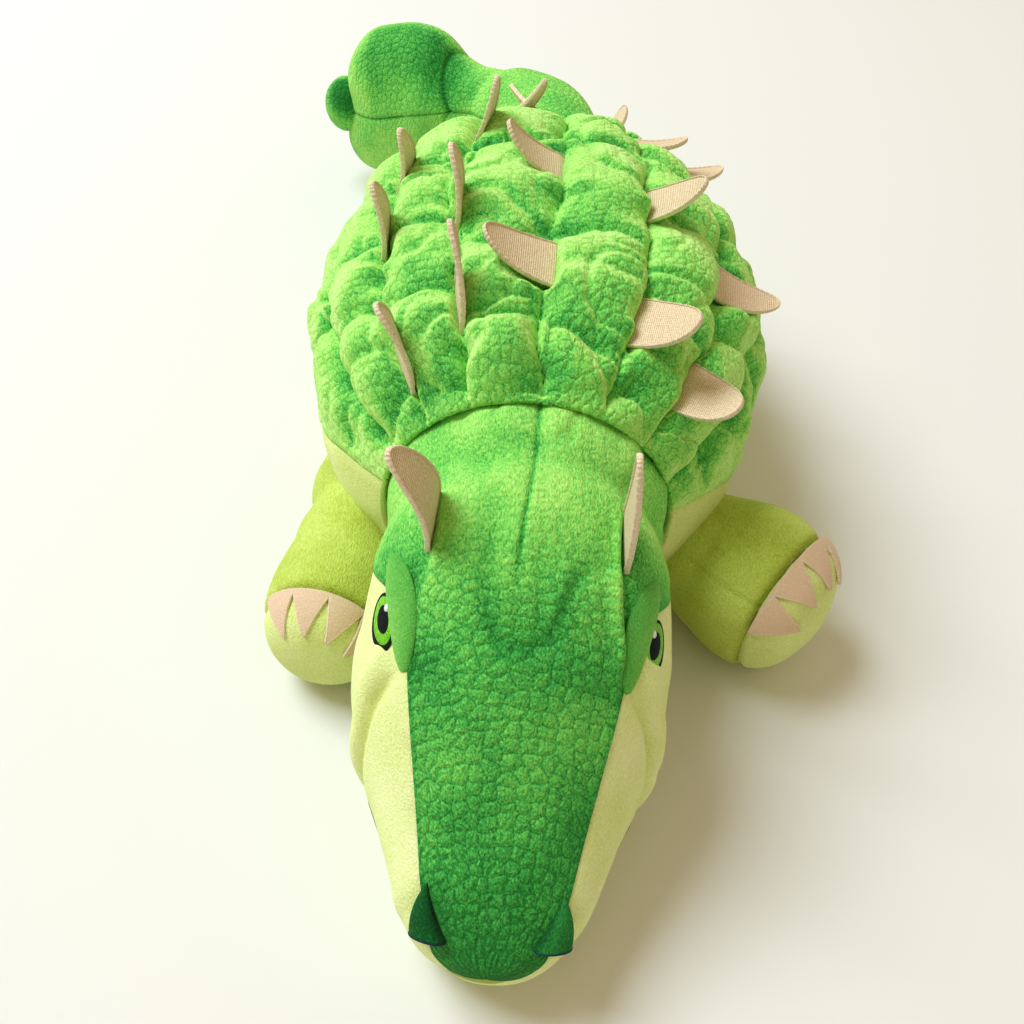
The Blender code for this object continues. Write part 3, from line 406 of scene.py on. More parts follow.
def embossed(lay_and_shade, press, flat, inner):
    """The values of an embossed cover: how its pile lies, with its painted shade and painted sheen in
    the same value, how deep its scales are pressed in, and its flat map in metres, each followed by 0
    for its inner wall."""
    flat_wall = np.zeros(inner.shape[:2] + (2,))
    return {
        "lay_and_shade": walled(lay_and_shade, inner),
        "press": walled(press + 0 * lay_and_shade, inner),
        "UVMap": np.concatenate([flat, flat_wall], axis=1),
    }


# Cloth

TIMES = {"operation": "MULTIPLY"}
MINUS = {"operation": "SUBTRACT"}
TIMES_PLUS = {"operation": "MULTIPLY_ADD"}
LARGER = {"operation": "MAXIMUM"}
CELL_EDGES = {"feature": "DISTANCE_TO_EDGE", "voronoi_dimensions": "2D"}
EASED = {"interpolation_type": "SMOOTHSTEP"}
PATCH_SIZE = 0.022
TUFT_DEPTH = 0.0008
SCALE_DEPTH = 0.0007
RIB_DEPTH = 0.0003
STRAND_DEPTH = 0.0002


def linear(code):
    """An sRGB hex colour as linear light, with alpha 1."""
    channels = [int(code[k : k + 2], 16) / 255 for k in (1, 3, 5)]
    light = [c / 12.92 if c <= 0.04045 else ((c + 0.055) / 1.055) ** 2.4 for c in channels]
    return (*light, 1)


def add(tree, kind, settings=None, **inputs):
    """Add a node: settings are its own properties, and each input, named or numbered as _0, _1, is a
    value, the socket that feeds it, or the node whose first output does."""
    made = tree.nodes.new(kind)
    for key, value in (settings or {}).items():
        setattr(made, key, value)
    for key, value in inputs.items():
        socket = made.inputs[int(key[1:])] if key[0] == "_" else made.inputs[key.replace("_", " ")]
        if isinstance(value, bpy.types.Node):
            value = value.outputs[0]
        if isinstance(value, bpy.types.NodeSocket):
            tree.links.new(value, socket)
        else:
            socket.default_value = value
    return made


def cloth_tree(name):
    """A new material, its tree and its shader."""
    material = bpy.data.materials.new(name)
    material.use_nodes = True
    return material, material.node_tree, material.node_tree.nodes["Principled BSDF"]


def finished(cloth, colour, relief, rough, specular, sheen=0.0):
    """The material of a cloth tree, with its colour and relief linked and its gloss set."""
    material, tree, shader = cloth
    tree.links.new(colour, shader.inputs["Base Color"])
    tree.links.new(relief.outputs[0], shader.inputs["Normal"])
    shader.inputs["Roughness"].default_value = rough
    shader.inputs["Specular IOR Level"].default_value = specular
    shader.inputs["Sheen Weight"].default_value = sheen
    return material


def ramp(tree, factor, *stops):
    """Colours along a factor, each stop a place and a hex colour."""
    made = add(tree, "ShaderNodeValToRGB", _0=factor)
    points = made.color_ramp.elements
    while len(points) < len(stops):
        points.new(1)
    for point, (place, code) in zip(points, stops):
        point.position = place
        point.color = linear(code)
    return made.outputs["Color"]


def plush(name, colours, sheen, pile=(0.6, 1.6), scale=0.0):
    """Short polyester pile, from the colour deep down in it to the colour of its tips. Pile gives a
    tuft's width and length in millimetres, longer along Y, because it is brushed from nose to tail.
    A point attribute says how far it shows its tips and also carries each cover's painted shade and
    painted sheen, and noise of one tuft and of 22 mm shifts that. Scale is the width in millimetres of
    the scales pressed into it, on the UV map in metres: where the attribute press is 1, each has a thin
    bent line of painted shade round it and a dome. To the eye it is matt and soft, with a faint pale
    sheen along its outline."""
    cloth = cloth_tree(name)
    _, tree, shader = cloth
    spot = add(tree, "ShaderNodeTexCoord").outputs["Object"]
    across, along = (1 / (MM * size) for size in pile)
    brushed = add(tree, "ShaderNodeMapping", Vector=spot, Scale=(across, along, across))
    tuft = add(tree, "ShaderNodeTexNoise", Vector=brushed, Scale=0.9, Detail=2.0, Distortion=0.6)
    patch = add(tree, "ShaderNodeTexNoise", Vector=spot, Scale=1 / PATCH_SIZE, Detail=2.0)
    lay_and_shade = add(tree, "ShaderNodeAttribute", {"attribute_name": "lay_and_shade"}).outputs["Fac"]
    patched = add(tree, "ShaderNodeMath", TIMES_PLUS, _0=patch, _1=0.5, _2=lay_and_shade)
    level = add(tree, "ShaderNodeMath", MINUS, _0=patched, _1=0.25)
    height = add(tree, "ShaderNodeMath", TIMES, _0=tuft, _1=TUFT_DEPTH)
    if scale:
        flat = add(tree, "ShaderNodeUVMap", {"uv_map": "UVMap"})
        drift = add(tree, "ShaderNodeTexNoise", Vector=flat, Scale=1 / (4 * MM), Detail=2.0)
        shift = drift.outputs["Color"]
        bent = add(tree, "ShaderNodeVectorMath", TIMES_PLUS, _0=shift, _1=(2 * MM,) * 3, _2=flat)
        bent = add(tree, "ShaderNodeVectorMath", TIMES, _0=bent, _1=(1.3, 1, 1))
        size = 1 / (scale * MM)
        edge = add(tree, "ShaderNodeTexVoronoi", CELL_EDGES, Vector=bent, Scale=size, Randomness=0.75)
        press = add(tree, "ShaderNodeAttribute", {"attribute_name": "press"}).outputs["Fac"]
        line = add(tree, "ShaderNodeMapRange", EASED, Value=edge, From_Max=0.10, To_Min=1.0, To_Max=0.0)
        dome = add(tree, "ShaderNodeMapRange", EASED, Value=edge, From_Max=0.34, To_Max=SCALE_DEPTH)
        # The line round each scale darkens the colour: painted shade in the pressed groove.
        share = add(tree, "ShaderNodeMath", TIMES, _0=line, _1=press)
        level = add(tree, "ShaderNodeMath", TIMES_PLUS, _0=share, _1=-0.18, _2=level)
        height = add(tree, "ShaderNodeMath", TIMES_PLUS, _0=dome, _1=press, _2=height)
    level = add(tree, "ShaderNodeMath", TIMES_PLUS, _0=tuft, _1=1.0, _2=level)
    level = add(tree, "ShaderNodeMath", MINUS, _0=level, _1=0.50)
    colour = ramp(tree, level, *zip(np.linspace(0, 1, len(colours)).tolist(), colours))
    relief = add(tree, "ShaderNodeBump", Strength=0.8, Distance=1.0, Height=height)
    shader.inputs["Sheen Roughness"].default_value = 0.5
    shader.inputs["Sheen Tint"].default_value = linear(sheen[1])
    return finished(cloth, colour, relief, 0.9, 0.15, sheen[0])


def ribbed(name, valley, crest, pitch=0.9):
    """Woven rib cloth of polyester yarn: ribs run across the petal along its foot, pitch millimetres
    apart, and each is beaded by the yarns that cross it. The UV map is in metres along the foot and up
    the petal. To the eye it is dry and matt; its colour is painted darker in the valleys as shade and
    paler on the crests as highlight."""
    cloth = cloth_tree(name)
    tree = cloth[1]
    flat = add(tree, "ShaderNodeUVMap", {"uv_map": "UVMap"})
    place = add(tree, "ShaderNodeSeparateXYZ", _0=flat)
    turn = 2 * math.pi / (pitch * MM)
    waves = []
    for output, scale in ((1, turn), (0, turn * 0.8)):
        angle = add(tree, "ShaderNodeMath", TIMES, _0=place.outputs[output], _1=scale)
        waves.append(add(tree, "ShaderNodeMath", {"operation": "SINE"}, _0=angle))
    height = add(tree, "ShaderNodeMath", TIMES_PLUS, _0=waves[1], _1=0.35, _2=waves[0])
    spot = add(tree, "ShaderNodeTexCoord").outputs["Object"]
    fuzz = add(tree, "ShaderNodeTexNoise", Vector=spot, Scale=1 / (0.8 * MM), Detail=2.0)
    level = add(tree, "ShaderNodeMath", TIMES_PLUS, _0=height, _1=0.22, _2=fuzz)
    # Painted shade in the valleys between the ribs and painted highlight on their crests.
    colour = ramp(tree, level, (0.2, valley), (0.8, crest))
    relief = add(tree, "ShaderNodeBump", Strength=0.8, Distance=RIB_DEPTH, Height=level)
    return finished(cloth, colour, relief, 0.8, 0.25, 0.05)


def thread(name, low, high, rough=0.45):
    """Twisted polyester embroidery thread: close strands 0.4 mm wide, with a soft gloss."""
    cloth = cloth_tree(name)
    tree = cloth[1]
    spot = add(tree, "ShaderNodeTexCoord").outputs["Object"]
    width = 1 / (0.4 * MM)
    strands = add(tree, "ShaderNodeMapping", Vector=spot, Scale=(width, width / 5, width))
    strand = add(tree, "ShaderNodeTexNoise", Vector=strands, Scale=0.8, Detail=1.0)
    colour = ramp(tree, strand, (0.3, low), (0.7, high))
    relief = add(tree, "ShaderNodeBump", Strength=0.6, Distance=STRAND_DEPTH, Height=strand)
    return finished(cloth, colour, relief, rough, 0.2)


# Embossed green plush of the back, the head and the tail: deep bluish green between the tufts, bright
# at their tips, with scales pressed into it about 4.8 mm wide
GREENS = ("#1c762c", "#42aa46", "#7cd45a", "#acea70", "#ccfa94")
BACK_PLUSH = plush("embossed_green_plush", GREENS, (0.08, "#d8f4a0"), scale=4.8)
# Pale lime velboa of the belly and the face: short and smooth
PALES = ("#a4b848", "#cadc76", "#e2f09a", "#f2fcc0")
PALE_PLUSH = plush("pale_lime_velboa", PALES, (0.1, "#ffffe0"), (0.6, 1.1))
# Lime velboa of the legs: a little longer, with a strong lie
LIMES = ("#78881e", "#9cb038", "#bcd258", "#d8e886")
LEG_PLUSH = plush("lime_velboa", LIMES, (0.12, "#f4ffb8"), (0.5, 1.6))
# Mid green velboa of the eyelids
LID_PLUSH = plush("eyelid_velboa", ("#338e36", "#62b64a", "#90d664"), (0.08, "#d4f0a0"), (0.5, 1.1))
# Smooth green plush of the nostril flaps; its darkest green is painted shade inside the fold
FLAP_GREENS_AND_SHADE = ("#031c0a", "#0c5420", "#2f8c3a")
FLAP_PLUSH = plush("nostril_flap_plush", FLAP_GREENS_AND_SHADE, (0.05, "#a8e4a0"), (0.5, 1.0))
# Beige rib cloth of the spikes and horns
RIB_CLOTH = ribbed("beige_rib_cloth", "#c6a880", "#f2debe")
# Beige felt of the claws, faintly pink
CLAW_FELT = ribbed("beige_claw_felt", "#dcbc9a", "#eed4b6", pitch=0.5)
# Overlock thread round the petals: cream, matt
EDGE_THREAD = thread("cream_overlock_thread", "#d0bb9a", "#f2e2c8", 0.8)
# Embroidery of the eyes and the mouth, and the thread round the nostrils' rims
BLACK_THREAD = thread("black_embroidery", "#030405", "#0c1210", 0.9)
IRIS_THREAD = thread("green_embroidery", "#4f9e12", "#86d62c")
WHITE_THREAD = thread("white_embroidery", "#d9dedb", "#fbfcfa")
DARK_THREAD = thread("dark_green_seam_thread", "#10301c", "#1f4a2c", 0.6)
NAVY_THREAD = thread("navy_rim_thread", "#0c1830", "#1a2c4c", 0.6)
# Polyester fibre filling
FIBRE = plush("white_fibre_filling", ("#d8d8d2", "#ededE8", "#fbfbf8"), (0.2, "#ffffff"), (1.5, 1.5))

# Layers of an eye: cloth, place ahead and round, length, width and height in mm
EYE_LAYERS = {
    "outline": (BLACK_THREAD, 0.0, 0.0, 23, 13.5, 0.7),
    "iris": (IRIS_THREAD, 0.2, -0.3, 20.6, 11.4, 1.0),
    "pupil": (BLACK_THREAD, 0.2, -1.0, 14.5, 7.8, 1.3),
    "glint": (WHITE_THREAD, 3.0, -3.0, 3.6, 2.8, 1.6),
}


# Torso


def torso_y(share):
    """The place along Y at a share of the way from the torso's middle to its front or its rear."""
    return share * np.where(share < 0, TORSO_FRONT, TORSO_REAR)


def torso_reach(y):
    """Shares of the torso's full width and height at y, which fall to 0 at its two ends."""
    share = np.clip(np.abs(y) / np.where(y < 0, TORSO_FRONT, TORSO_REAR), 0, 1)
    plan, side = (np.where(y < 0, *powers) for powers in (PLAN_POWERS, SIDE_POWERS))
    return (1 - share**plan) ** (1 / plan), (1 - share**side) ** (1 / side)


def torso_point(y, turn, low=0.0, out=0.0):
    """The torso's outside at y and turn: low draws its width and height above in, out moves all of
    it outwards."""
    width, height = torso_reach(y)
    low = low * np.clip(2 - np.abs(turn) / FLANK_TURNS[1], 0, 1) - out
    width = np.maximum(TORSO_HALF_WIDTH * width - low, 0)
    rise = np.maximum(TORSO_UP * height - low, 0)
    drop = np.maximum(TORSO_DOWN * height + out, 0)
    return ring_points(stacked(0, y, TORSO_MIDDLE), ACROSS, width, rise, drop, turn, SECTION_POWERS)


def flank_turn(y):
    """Turn of the seam between back and belly at y."""
    return smooth(y / np.where(y < 0, TORSO_FRONT, TORSO_REAR), FLANK_PLACES, FLANK_TURNS)


def from_neck(points):
    """Each point's distance from the neck's axis, and how far the rear half of the neck's ball, with
    a little room round it, lies behind its middle there."""
    reach = np.hypot(points[..., 0] - NECK.x, points[..., 2] - NECK.z)
    return reach, np.sqrt(np.maximum(COLLAR_BALL**2 - reach**2, 0))


def collared(points):
    """The points, kept off the neck's ball and behind the collar: each lies at or behind the ball's
    rear half, and outside the ball behind a shallow cone with a rounded lip."""
    reach, rear = from_neck(points)
    lip = COLLAR_SLOPE * reach * ease(reach, COLLAR_BALL, COLLAR_BALL + 5 * MM)
    behind = np.maximum(points[..., 1], NECK.y + rear - lip)
    points[..., 1] = np.where(reach < COLLAR_REACH, behind, points[..., 1])
    return points


def collar_gap(points):
    """How far points lie behind the collar's lip, along Y."""
    reach, rear = from_neck(points)
    return points[..., 1] - NECK.y - rear + COLLAR_SLOPE * reach


def painted_sheen(out, base):
    """Painted sheen of the pile, from its outward normals: the level is lowest where a surface faces
    ahead and above, where one looks straight into pile brushed towards the tail, and highest where it is
    seen along its lie."""
    into = out @ np.array((0.0, -0.74, 0.67))
    return base - 0.46 * ease(into, 0.46, 1.0)


def puff_numbers(column, turn, at):
    """Which puff of its column each point is in, counted from the front, as a whole number and the
    share of the way to the next crease. The creases slant, and the slant changes by column."""
    number = np.zeros(column.shape)
    for side, columns in ((1, LEFT_CREASES), (-1, RIGHT_CREASES)):
        for count, row in enumerate(columns):
            here = (np.floor(column) == count) & (turn * side >= 0)
            lean = 0.22 * (1 if (count + side) % 3 else -1)
            slant = lean * (column % 1 - 0.5) * SEAM_TURN * TORSO_HALF_WIDTH
            number = np.where(here, np.interp(at + slant / MM, row, np.arange(len(row))), number)
    return number


def petal_beds(y, turn, low):
    """The draw of the back, deepened beside each petal's foot so that the puffs there stay below the
    petal that leans over them."""
    for seam, petals in SPIKES.values():
        for share, lean, _ in petals:
            off = (turn - seam * SEAM_TURN) * TORSO_HALF_WIDTH * (1 if lean > 0 else -1)
            reach = 6 * MM + 14 * MM * max(0, abs(lean) - 30) / 36
            beside = ease(off, -3 * MM, 1 * MM) * (1 - ease(off, reach, reach + 8 * MM))
            bed = beside * (1 - ease(np.abs(y - torso_y(share)), 10 * MM, 18 * MM))
            under = PUFF_HEIGHT + 4.5 * MM - np.maximum(off, 0) / math.tan(math.radians(abs(lean)))
            low = low + np.maximum(under - low, 0) * bed
    return low


def gathers(y, turn, spot):
    """How far the back is drawn in. Seams 22.5 degrees apart and the creases of each column cut it
    into puffs. Over a puff's share c of its column and t of its length, it rises as sqrt(4c(1 - c))
    times sqrt(4t(1 - t)), with the places shifted by noise, and each is joined to the next by a share
    of its own. Folds 8 mm apart run out of each seam and fade in 12 mm."""
    bend = 0.055 * noise(spot, 36 * MM, 5) + 0.03 * noise(spot, 14 * MM, 6)
    column = np.abs(turn + bend) / SEAM_TURN
    at = (y + 9 * MM * noise(spot, 30 * MM, 3) + 3.5 * MM * noise(spot, 12 * MM, 4)) / MM
    number = puff_numbers(column, turn, at)
    part, along = column % 1, number % 1
    which = stacked(np.floor(number), np.floor(column), np.sign(turn) + 1).astype(np.int64)
    own = 0.68 + 0.6 * scatter(which, 5)
    joined = 0.12 + 0.45 * scatter(which, 8) * np.abs(2 * along - 1)
    dome = np.sqrt(4 * along * (1 - along))
    crown = np.sqrt(4 * part * (1 - part)) ** 0.9 * (joined + (1 - joined) * dome)
    fade = np.clip((PUFF_COLUMNS - 0.35 - column) / 1.2, 0, 1)
    off_seam = np.minimum(part, 1 - part) * SEAM_TURN * TORSO_HALF_WIDTH
    line = stacked(y, 0.35 * off_seam, 0.03 * np.round(column) * np.sign(turn))
    fold = noise(line, 7.5 * MM, 7) * bump(off_seam, 12 * MM)
    pull = noise(spot * np.array((1.0, 0.35, 1.0)), 9 * MM, 9) * (1 - dome)
    crease = creases(spot, 30 * MM, 13, 0.13) + 0.6 * creases(spot, 15 * MM, 17, 0.18)
    low = (PUFF_HEIGHT + 1.2 * MM) * fade - (PUFF_HEIGHT * own + 3.5 * MM) * crown * fade
    low = low - 3.0 * MM * fold * fade - 2.4 * MM * pull * fade
    return petal_beds(y, turn, low + 1.9 * MM * crease * (0.4 + 0.6 * fade))


def tucked(away, depth, width):
    """How far cloth is drawn in next to a seam, away metres from it: depth and width in mm."""
    return depth * MM * bump(away, width * MM)


def half_ring(rim, fine, coarse, above=True):
    """Turns of a cover's outside, and of its inner wall on the way back, for each row's seam."""
    out = np.linspace(-1, 1, fine)[None, :]
    back = np.linspace(1, -1, coarse + 2)[None, 1:-1]
    if above:
        return rim * out, rim * back
    return math.pi + (math.pi - rim) * out, math.pi + (math.pi - rim) * back


def torso():
    """The gathered back and the smooth belly, which share one seam along the flank. Near the collar
    the puffs give way to a soft lip with pleats that run out of the crease."""
    y = torso_y(-np.cos(np.linspace(0, math.pi, TORSO_ROWS)))[:, None]
    rim = flank_turn(y)
    reach = np.maximum(TORSO_HALF_WIDTH * torso_reach(y)[0], TINY)
    out, back = half_ring(rim, TORSO_ROWS, INNER_ROWS)
    spot = torso_point(y, out)
    gap = collar_gap(spot)
    lip = 1 - ease(gap, 3 * MM, 17 * MM)
    lip_draw = 1.5 * MM - 2.4 * MM * pleats(out * 0.045, gap, 8 * MM, 21)
    low = gathers(y, out, spot) * (1 - 0.85 * lip) + lip_draw * lip
    low = low + 3.5 * MM * (1 - ease(gap, 0, 7 * MM))
    from_rim = (rim - np.abs(out)) * reach
    low = low * ease(from_rim, 0, 12 * MM)
    seam = tucked(from_rim, 1.0, 2.4)
    points = torso_point(y, out, low + seam)
    # Painted sheen from the normals, painted shade where the back is drawn in between the puffs and in
    # the seam, and lighter over the collar's lip.
    lay_and_shade = painted_sheen(normals(points), 0.90) - 0.035 * np.clip(low / MM, 0, 6) - 0.1 * seam / MM + 0.20 * lip
    inside = torso_point(y, back, BACK_WALL)
    shell = collared(np.concatenate([torso_ends(points, y), inside], axis=1))
    flat = stacked(y, out * (0.45 * TORSO_HALF_WIDTH + 0.55 * reach))
    piece(
        "back_plush", "torso", [BACK_PLUSH], (shell, embossed(lay_and_shade, 1, flat, inside)),
        slot="green_embossed_plush", stands_for=("back_cover", "torso_filling"), fill=0.8,
    )
    out, back = half_ring(rim, 200, INNER_ROWS, above=False)
    spot = torso_point(y, out)
    seam = tucked((from_top(out) - rim) * reach, 1.0, 2.2)
    folds = 1.2 * MM * creases(spot, 38 * MM, 19, 0.22) + 0.5 * MM * noise(spot, 16 * MM, 29)
    points = torso_ends(torso_point(y, out, 0.0, -folds - seam), y)
    # Painted shade in the seam and in the folds.
    lay_and_shade = 0.62 - 0.12 * seam / MM - 0.08 * folds / MM
    inside = torso_point(y, back, PUFF_HEIGHT * 1.5, -BELLY_WALL)
    shell = grounded(collared(np.concatenate([points, inside], axis=1)))
    piece(
        "belly_plush", "torso", [PALE_PLUSH], (shell, {"lay_and_shade": walled(lay_and_shade, inside)}),
        slot="pale_lime_plush", stands_for=("belly_cover",), fill=0.8,
    )


def torso_ends(points, y):
    """The points, with the rows at the two poles brought back to one point each."""
    away = np.minimum(y + TORSO_FRONT, TORSO_REAR - y)
    share = ease(away, 0, 0.4 * MM)[..., None]
    return points * share + torso_point(y, 0 * y) * (1 - share)


# Petals


def petal(name, body, sizes, frame_at, lean, sweep, bow, node):
    """A cloth petal. Rings round it rise from below its foot to its tip: half its length is
    L/2 sqrt(1 - h^2), its thickness falls by a third, and it bows sideways by 4h(1 - h) of bow times
    its height. Round its outline runs an overlocked edge: a flat cord that swells at each stitch."""
    length, height = sizes
    level = np.sin(np.linspace(0, math.pi / 2, 56))[:, None]
    angle = circle(48)
    half = length / 2 * np.sqrt(1 - level**2)
    thick = 1.0 * MM * (1 - 0.3 * level) * (half / (length / 2)) ** 0.25
    x = thick * powered(np.sin(angle), 0.6)
    y = half * np.cos(angle)
    z = -PETAL_ROOT + (height + PETAL_ROOT) * level
    flat = stacked(y, z)
    points = stacked(x, y, z)
    foot = np.array([[[0, 0, -PETAL_ROOT]]]) + 0 * points[:1]
    run = np.linspace(-math.pi / 2, math.pi / 2, 300)
    edge = stacked(0, length / 2 * np.sin(run), -PETAL_ROOT + (height + PETAL_ROOT) * np.cos(run))
    stitch = (0.38 * MM * (1 + 0.3 * np.sin(run * 60)))[:, None]
    stitch[0] = stitch[-1] = 0
    across = np.cross(unit(np.gradient(edge, axis=0)), ACROSS)
    rim = cord(edge, across, stitch, ACROSS, 0.95 * MM * (stitch > 0) + 0.4 * stitch)
    place, along, out = frame_at
    along = Vector(along).normalized()
    out = Vector(out)
    out = (out - along * out.dot(along)).normalized()
    out = Matrix.Rotation(math.radians(lean), 3, along) @ out
    stand = np.array([along.cross(out), along, out])

    def placed(grid):
        bent = grid.copy()
        rise = np.clip(grid[..., 2] / height, 0, 1)
        bent[..., 0] += 4 * bow * height * rise * (1 - rise)
        bent[..., 1] += grid[..., 2] * math.tan(math.radians(sweep))
        return grounded(bent @ stand + np.array(place))

    grids = (
        (placed(np.concatenate([foot, points])), {"UVMap": np.concatenate([0 * flat[:1], flat])}),
        (placed(rim), {"UVMap": np.repeat(edge[:, None, 1:], rim.shape[1], axis=1)}),
    )
    piece(name, body, [RIB_CLOTH, EDGE_THREAD], *grids, slot="tan_woven_cloth", stands_for=(node,))


def seam_frame(form, place, turn):
    """Point, direction along and direction outwards of a form at a place and turn."""
    at, angle = np.array([[place]]), np.array([[turn]])
    along = form(at + TINY, angle)[0, 0] - form(at - TINY, angle)[0, 0]
    round_it = form(at, angle + TINY)[0, 0] - form(at, angle - TINY)[0, 0]
    return form(at, angle)[0, 0], along, np.cross(round_it, along)


def torso_valley(y, turn):
    """The torso at the depth of its seams."""
    return torso_point(y, turn, PUFF_HEIGHT)


def spikes():
    """Seventeen petals that stand in the seams of the back, each bowed a little its own way."""
    for name, (seam, petals) in SPIKES.items():
        for number, (share, lean, sweep) in enumerate(petals, 1):
            frame_at = seam_frame(torso_valley, torso_y(share), seam * SEAM_TURN)
            bow = 0.09 * (1 if lean > 0 else -1) * (0.4 + 0.6 * abs(math.sin(7 * share + 3 * seam)))
            node = f"{name}_spike_{number}"
            petal(f"{node}_petal", "torso", SPIKE_SIZES, frame_at, lean, sweep, bow, node)


# Head


def head_sizes(share):
    """Width, rise, widest height, drop and jaw power of the head at a share of its length, with the
    nose rounded off as a quarter circle."""
    end = np.clip((share - NOSE_SHARE) / (1 - NOSE_SHARE), 0, 1)
    nose = np.sqrt(1 - end**2)
    width = HEAD_HALF_WIDTH * smooth(share, HEAD_PLACES, HEAD_WIDTHS)
    heights = (HEAD_TOPS, HEAD_MIDDLES, HEAD_BOTTOMS)
    top, middle, bottom = (HEAD_HEIGHT * smooth(share, HEAD_PLACES, row) for row in heights)
    jaw = smooth(share, HEAD_PLACES, HEAD_JAWS)
    return width * nose, (top - middle) * nose, middle, (middle - bottom) * nose, jaw


def head_point(share, turn):
    """The head's outside, from the neck's waist to the nose."""
    width, rise, middle, drop, jaw = head_sizes(share)
    spine = stacked(0, NECK.y - HEAD_LENGTH * share, middle)
    return ring_points(spine, ACROSS, width, rise, drop, turn, (HEAD_TOP_POWER, jaw))


def head_outward(share, turn):
    """The head's surface with its length counted from nose to neck, so that outward is outward."""
    return head_point(-share, turn)


def neck_point(angle, turn):
    """The ball behind the head, an angle from its rear pole."""
    radius = NECK_BALL * np.sin(angle)
    spine = stacked(0, NECK.y + NECK_BALL * np.cos(angle), NECK.z)
    return ring_points(spine, ACROSS, radius, radius, radius, turn, (2, 2))


def panel_turn(share):
    """Turn of the seam between the head's top and its face. At the nose the top wraps round the tip."""
    return np.radians(smooth(share, HEAD_PLACES, PANEL_TURNS) + PANEL_WRAP * ease(share, 0.93, 1.0))


def head_rows(count, ball_count):
    """Shares of the head's length, nose first, closer at the nose, and angles of the ball's rows."""
    waist = NECK_BALL * math.cos(NECK_WAIST_TURN) / HEAD_LENGTH
    body = np.linspace(waist, NOSE_SHARE, count, endpoint=False)
    end = NOSE_SHARE + (1 - NOSE_SHARE) * np.sin(np.linspace(0, math.pi / 2, count // 5 + 1))
    rows = np.concatenate([body, end])[::-1, None]
    ball = np.linspace(math.pi - NECK_WAIST_TURN, 0, ball_count + 1)[1:, None]
    return rows, ball


def head_surface(fine, coarse, above, ball_count):
    """Rows of one cover of the head, of its outside and of its inner wall, with each row's share
    along the head (past 0 on the ball), its turns, its seam and its half width. The top laps a
    little over the face."""
    rows, ball = head_rows(fine[0], ball_count)
    lap = PANEL_LAP if above else 0
    rim = panel_turn(rows) + lap
    ball_rim = 0 * ball + panel_turn(np.array([[HEAD_PLACES[0]]])) + lap
    share = np.concatenate([rows, rows[-1] - (ball[0] - ball + 0.01) * NECK_BALL / HEAD_LENGTH])
    front = half_ring(rim, fine[1], coarse, above)
    rear = half_ring(ball_rim, fine[1], coarse, above)
    out, inner = (
        np.concatenate([head_point(rows, ahead), neck_point(ball, behind)])
        for ahead, behind in zip(front, rear)
    )
    middle = np.concatenate([head_sizes(rows)[2], NECK.z + 0 * ball])
    spine = stacked(0, inner[:, :1, 1], middle)
    inner = spine + (inner - spine) * HEAD_WALL_SHARE
    wide = np.maximum(np.ptp(out[..., 0], axis=1)[:, None] / 2, TINY)
    turns = np.concatenate([front[0], rear[0]])
    return out, inner, share, turns, np.concatenate([rim, ball_rim]), wide


def head_top():
    """The embossed top of the head. A seam runs down its middle from the collar and dies out over the
    brow. From each horn a pinched ridge runs to the corner of the brow, and outside it the temple
    lies deeper. The scales are faint behind the brow and full on the nose."""
    points, inner, share, turns, rim, wide = head_surface((320, 236), 16, True, 60)
    out = normals(points)
    side = points[..., 0]
    from_rim = (rim - np.abs(turns)) * wide
    seam = tucked(from_rim, 0.35, 1.6)
    middle = bump(side + 3 * MM * ease(share, 0.1, 0.4), 0.9 * MM) * (1 - ease(share, 0.34, 0.46))
    puckers = noise(points * np.array((1.0, 0.3, 0.3)), 6 * MM, 3) * bump(side, 20 * MM)
    puckers = puckers * ease(share, 0.22, 0.36) * (1 - ease(share, 0.44, 0.58))
    off_ridge = (np.abs(turns) - np.radians(smooth(share, RIDGE_PLACES, RIDGE_TURNS))) * wide
    last = np.where(turns > 0, 0.50, 0.36)
    along_ridge = ease(share, 0.20, 0.32) * (1 - ease(share, last, last + 0.10))
    along_ridge = along_ridge * np.where(turns > 0, 1, 0.5)
    crest = bump(off_ridge + 2.6 * MM, 2.2 * MM)
    ridge = crest - 1.1 * bump(off_ridge - 0.6 * MM, 1.6 * MM)
    folds = creases(points, 26 * MM, 31, 0.2) * (1 - ease(share, 0.50, 0.62))
    nape = noise(points * np.array((1.0, 0.25, 0.6)), 7 * MM, 39) * (1 - ease(share, 0.05, 0.30))
    raise_by = -seam - 1.1 * MM * middle + 1.3 * MM * puckers + 1.9 * MM * ridge * along_ridge
    raise_by = raise_by - 1.1 * MM * folds + 0.6 * MM * noise(points, 14 * MM, 37) + 1.1 * MM * nape
    raise_by = raise_by * ease(from_rim, 0, 4 * MM) + 0.30 * MM
    points = closed_ends(points + out * raise_by[..., None])
    temple = ease(off_ridge, -1 * MM, 2 * MM) * (1 - ease(share, 0.52, 0.6)) * ease(share, 0.2, 0.3)
    brow = bump(share - 0.50, 0.10) + 0.8 * bump(share - 0.93, 0.12)
    # Painted shade deepening from the rear of the head to the nose, in the deeper temple, the middle
    # seam, the folds and the edge seam, a painted highlight on each ridge's crest, and a little darker
    # over the brow and the nose tip.
    lay_and_shade = smooth(share, LAY_PLACES, HEAD_SHADE_LEVELS) - 0.08 * brow - 0.20 * temple - 0.35 * middle
    lay_and_shade = lay_and_shade - 0.12 * folds + 0.14 * crest * along_ridge - 0.3 * seam / MM
    pressed = 0.5 + 0.5 * ease(share, 0.28, 0.46)
    flat = stacked(share * HEAD_LENGTH, turns * (0.4 * HEAD_HALF_WIDTH + 0.6 * wide))
    shell = np.concatenate([points, inner], axis=1)
    piece(
        "head_top_plush", "head", [BACK_PLUSH], (shell, embossed(lay_and_shade, pressed, flat, inner)),
        slot="green_embossed_plush", stands_for=("head_top_cover", "head_filling"), fill=0.85,
    )


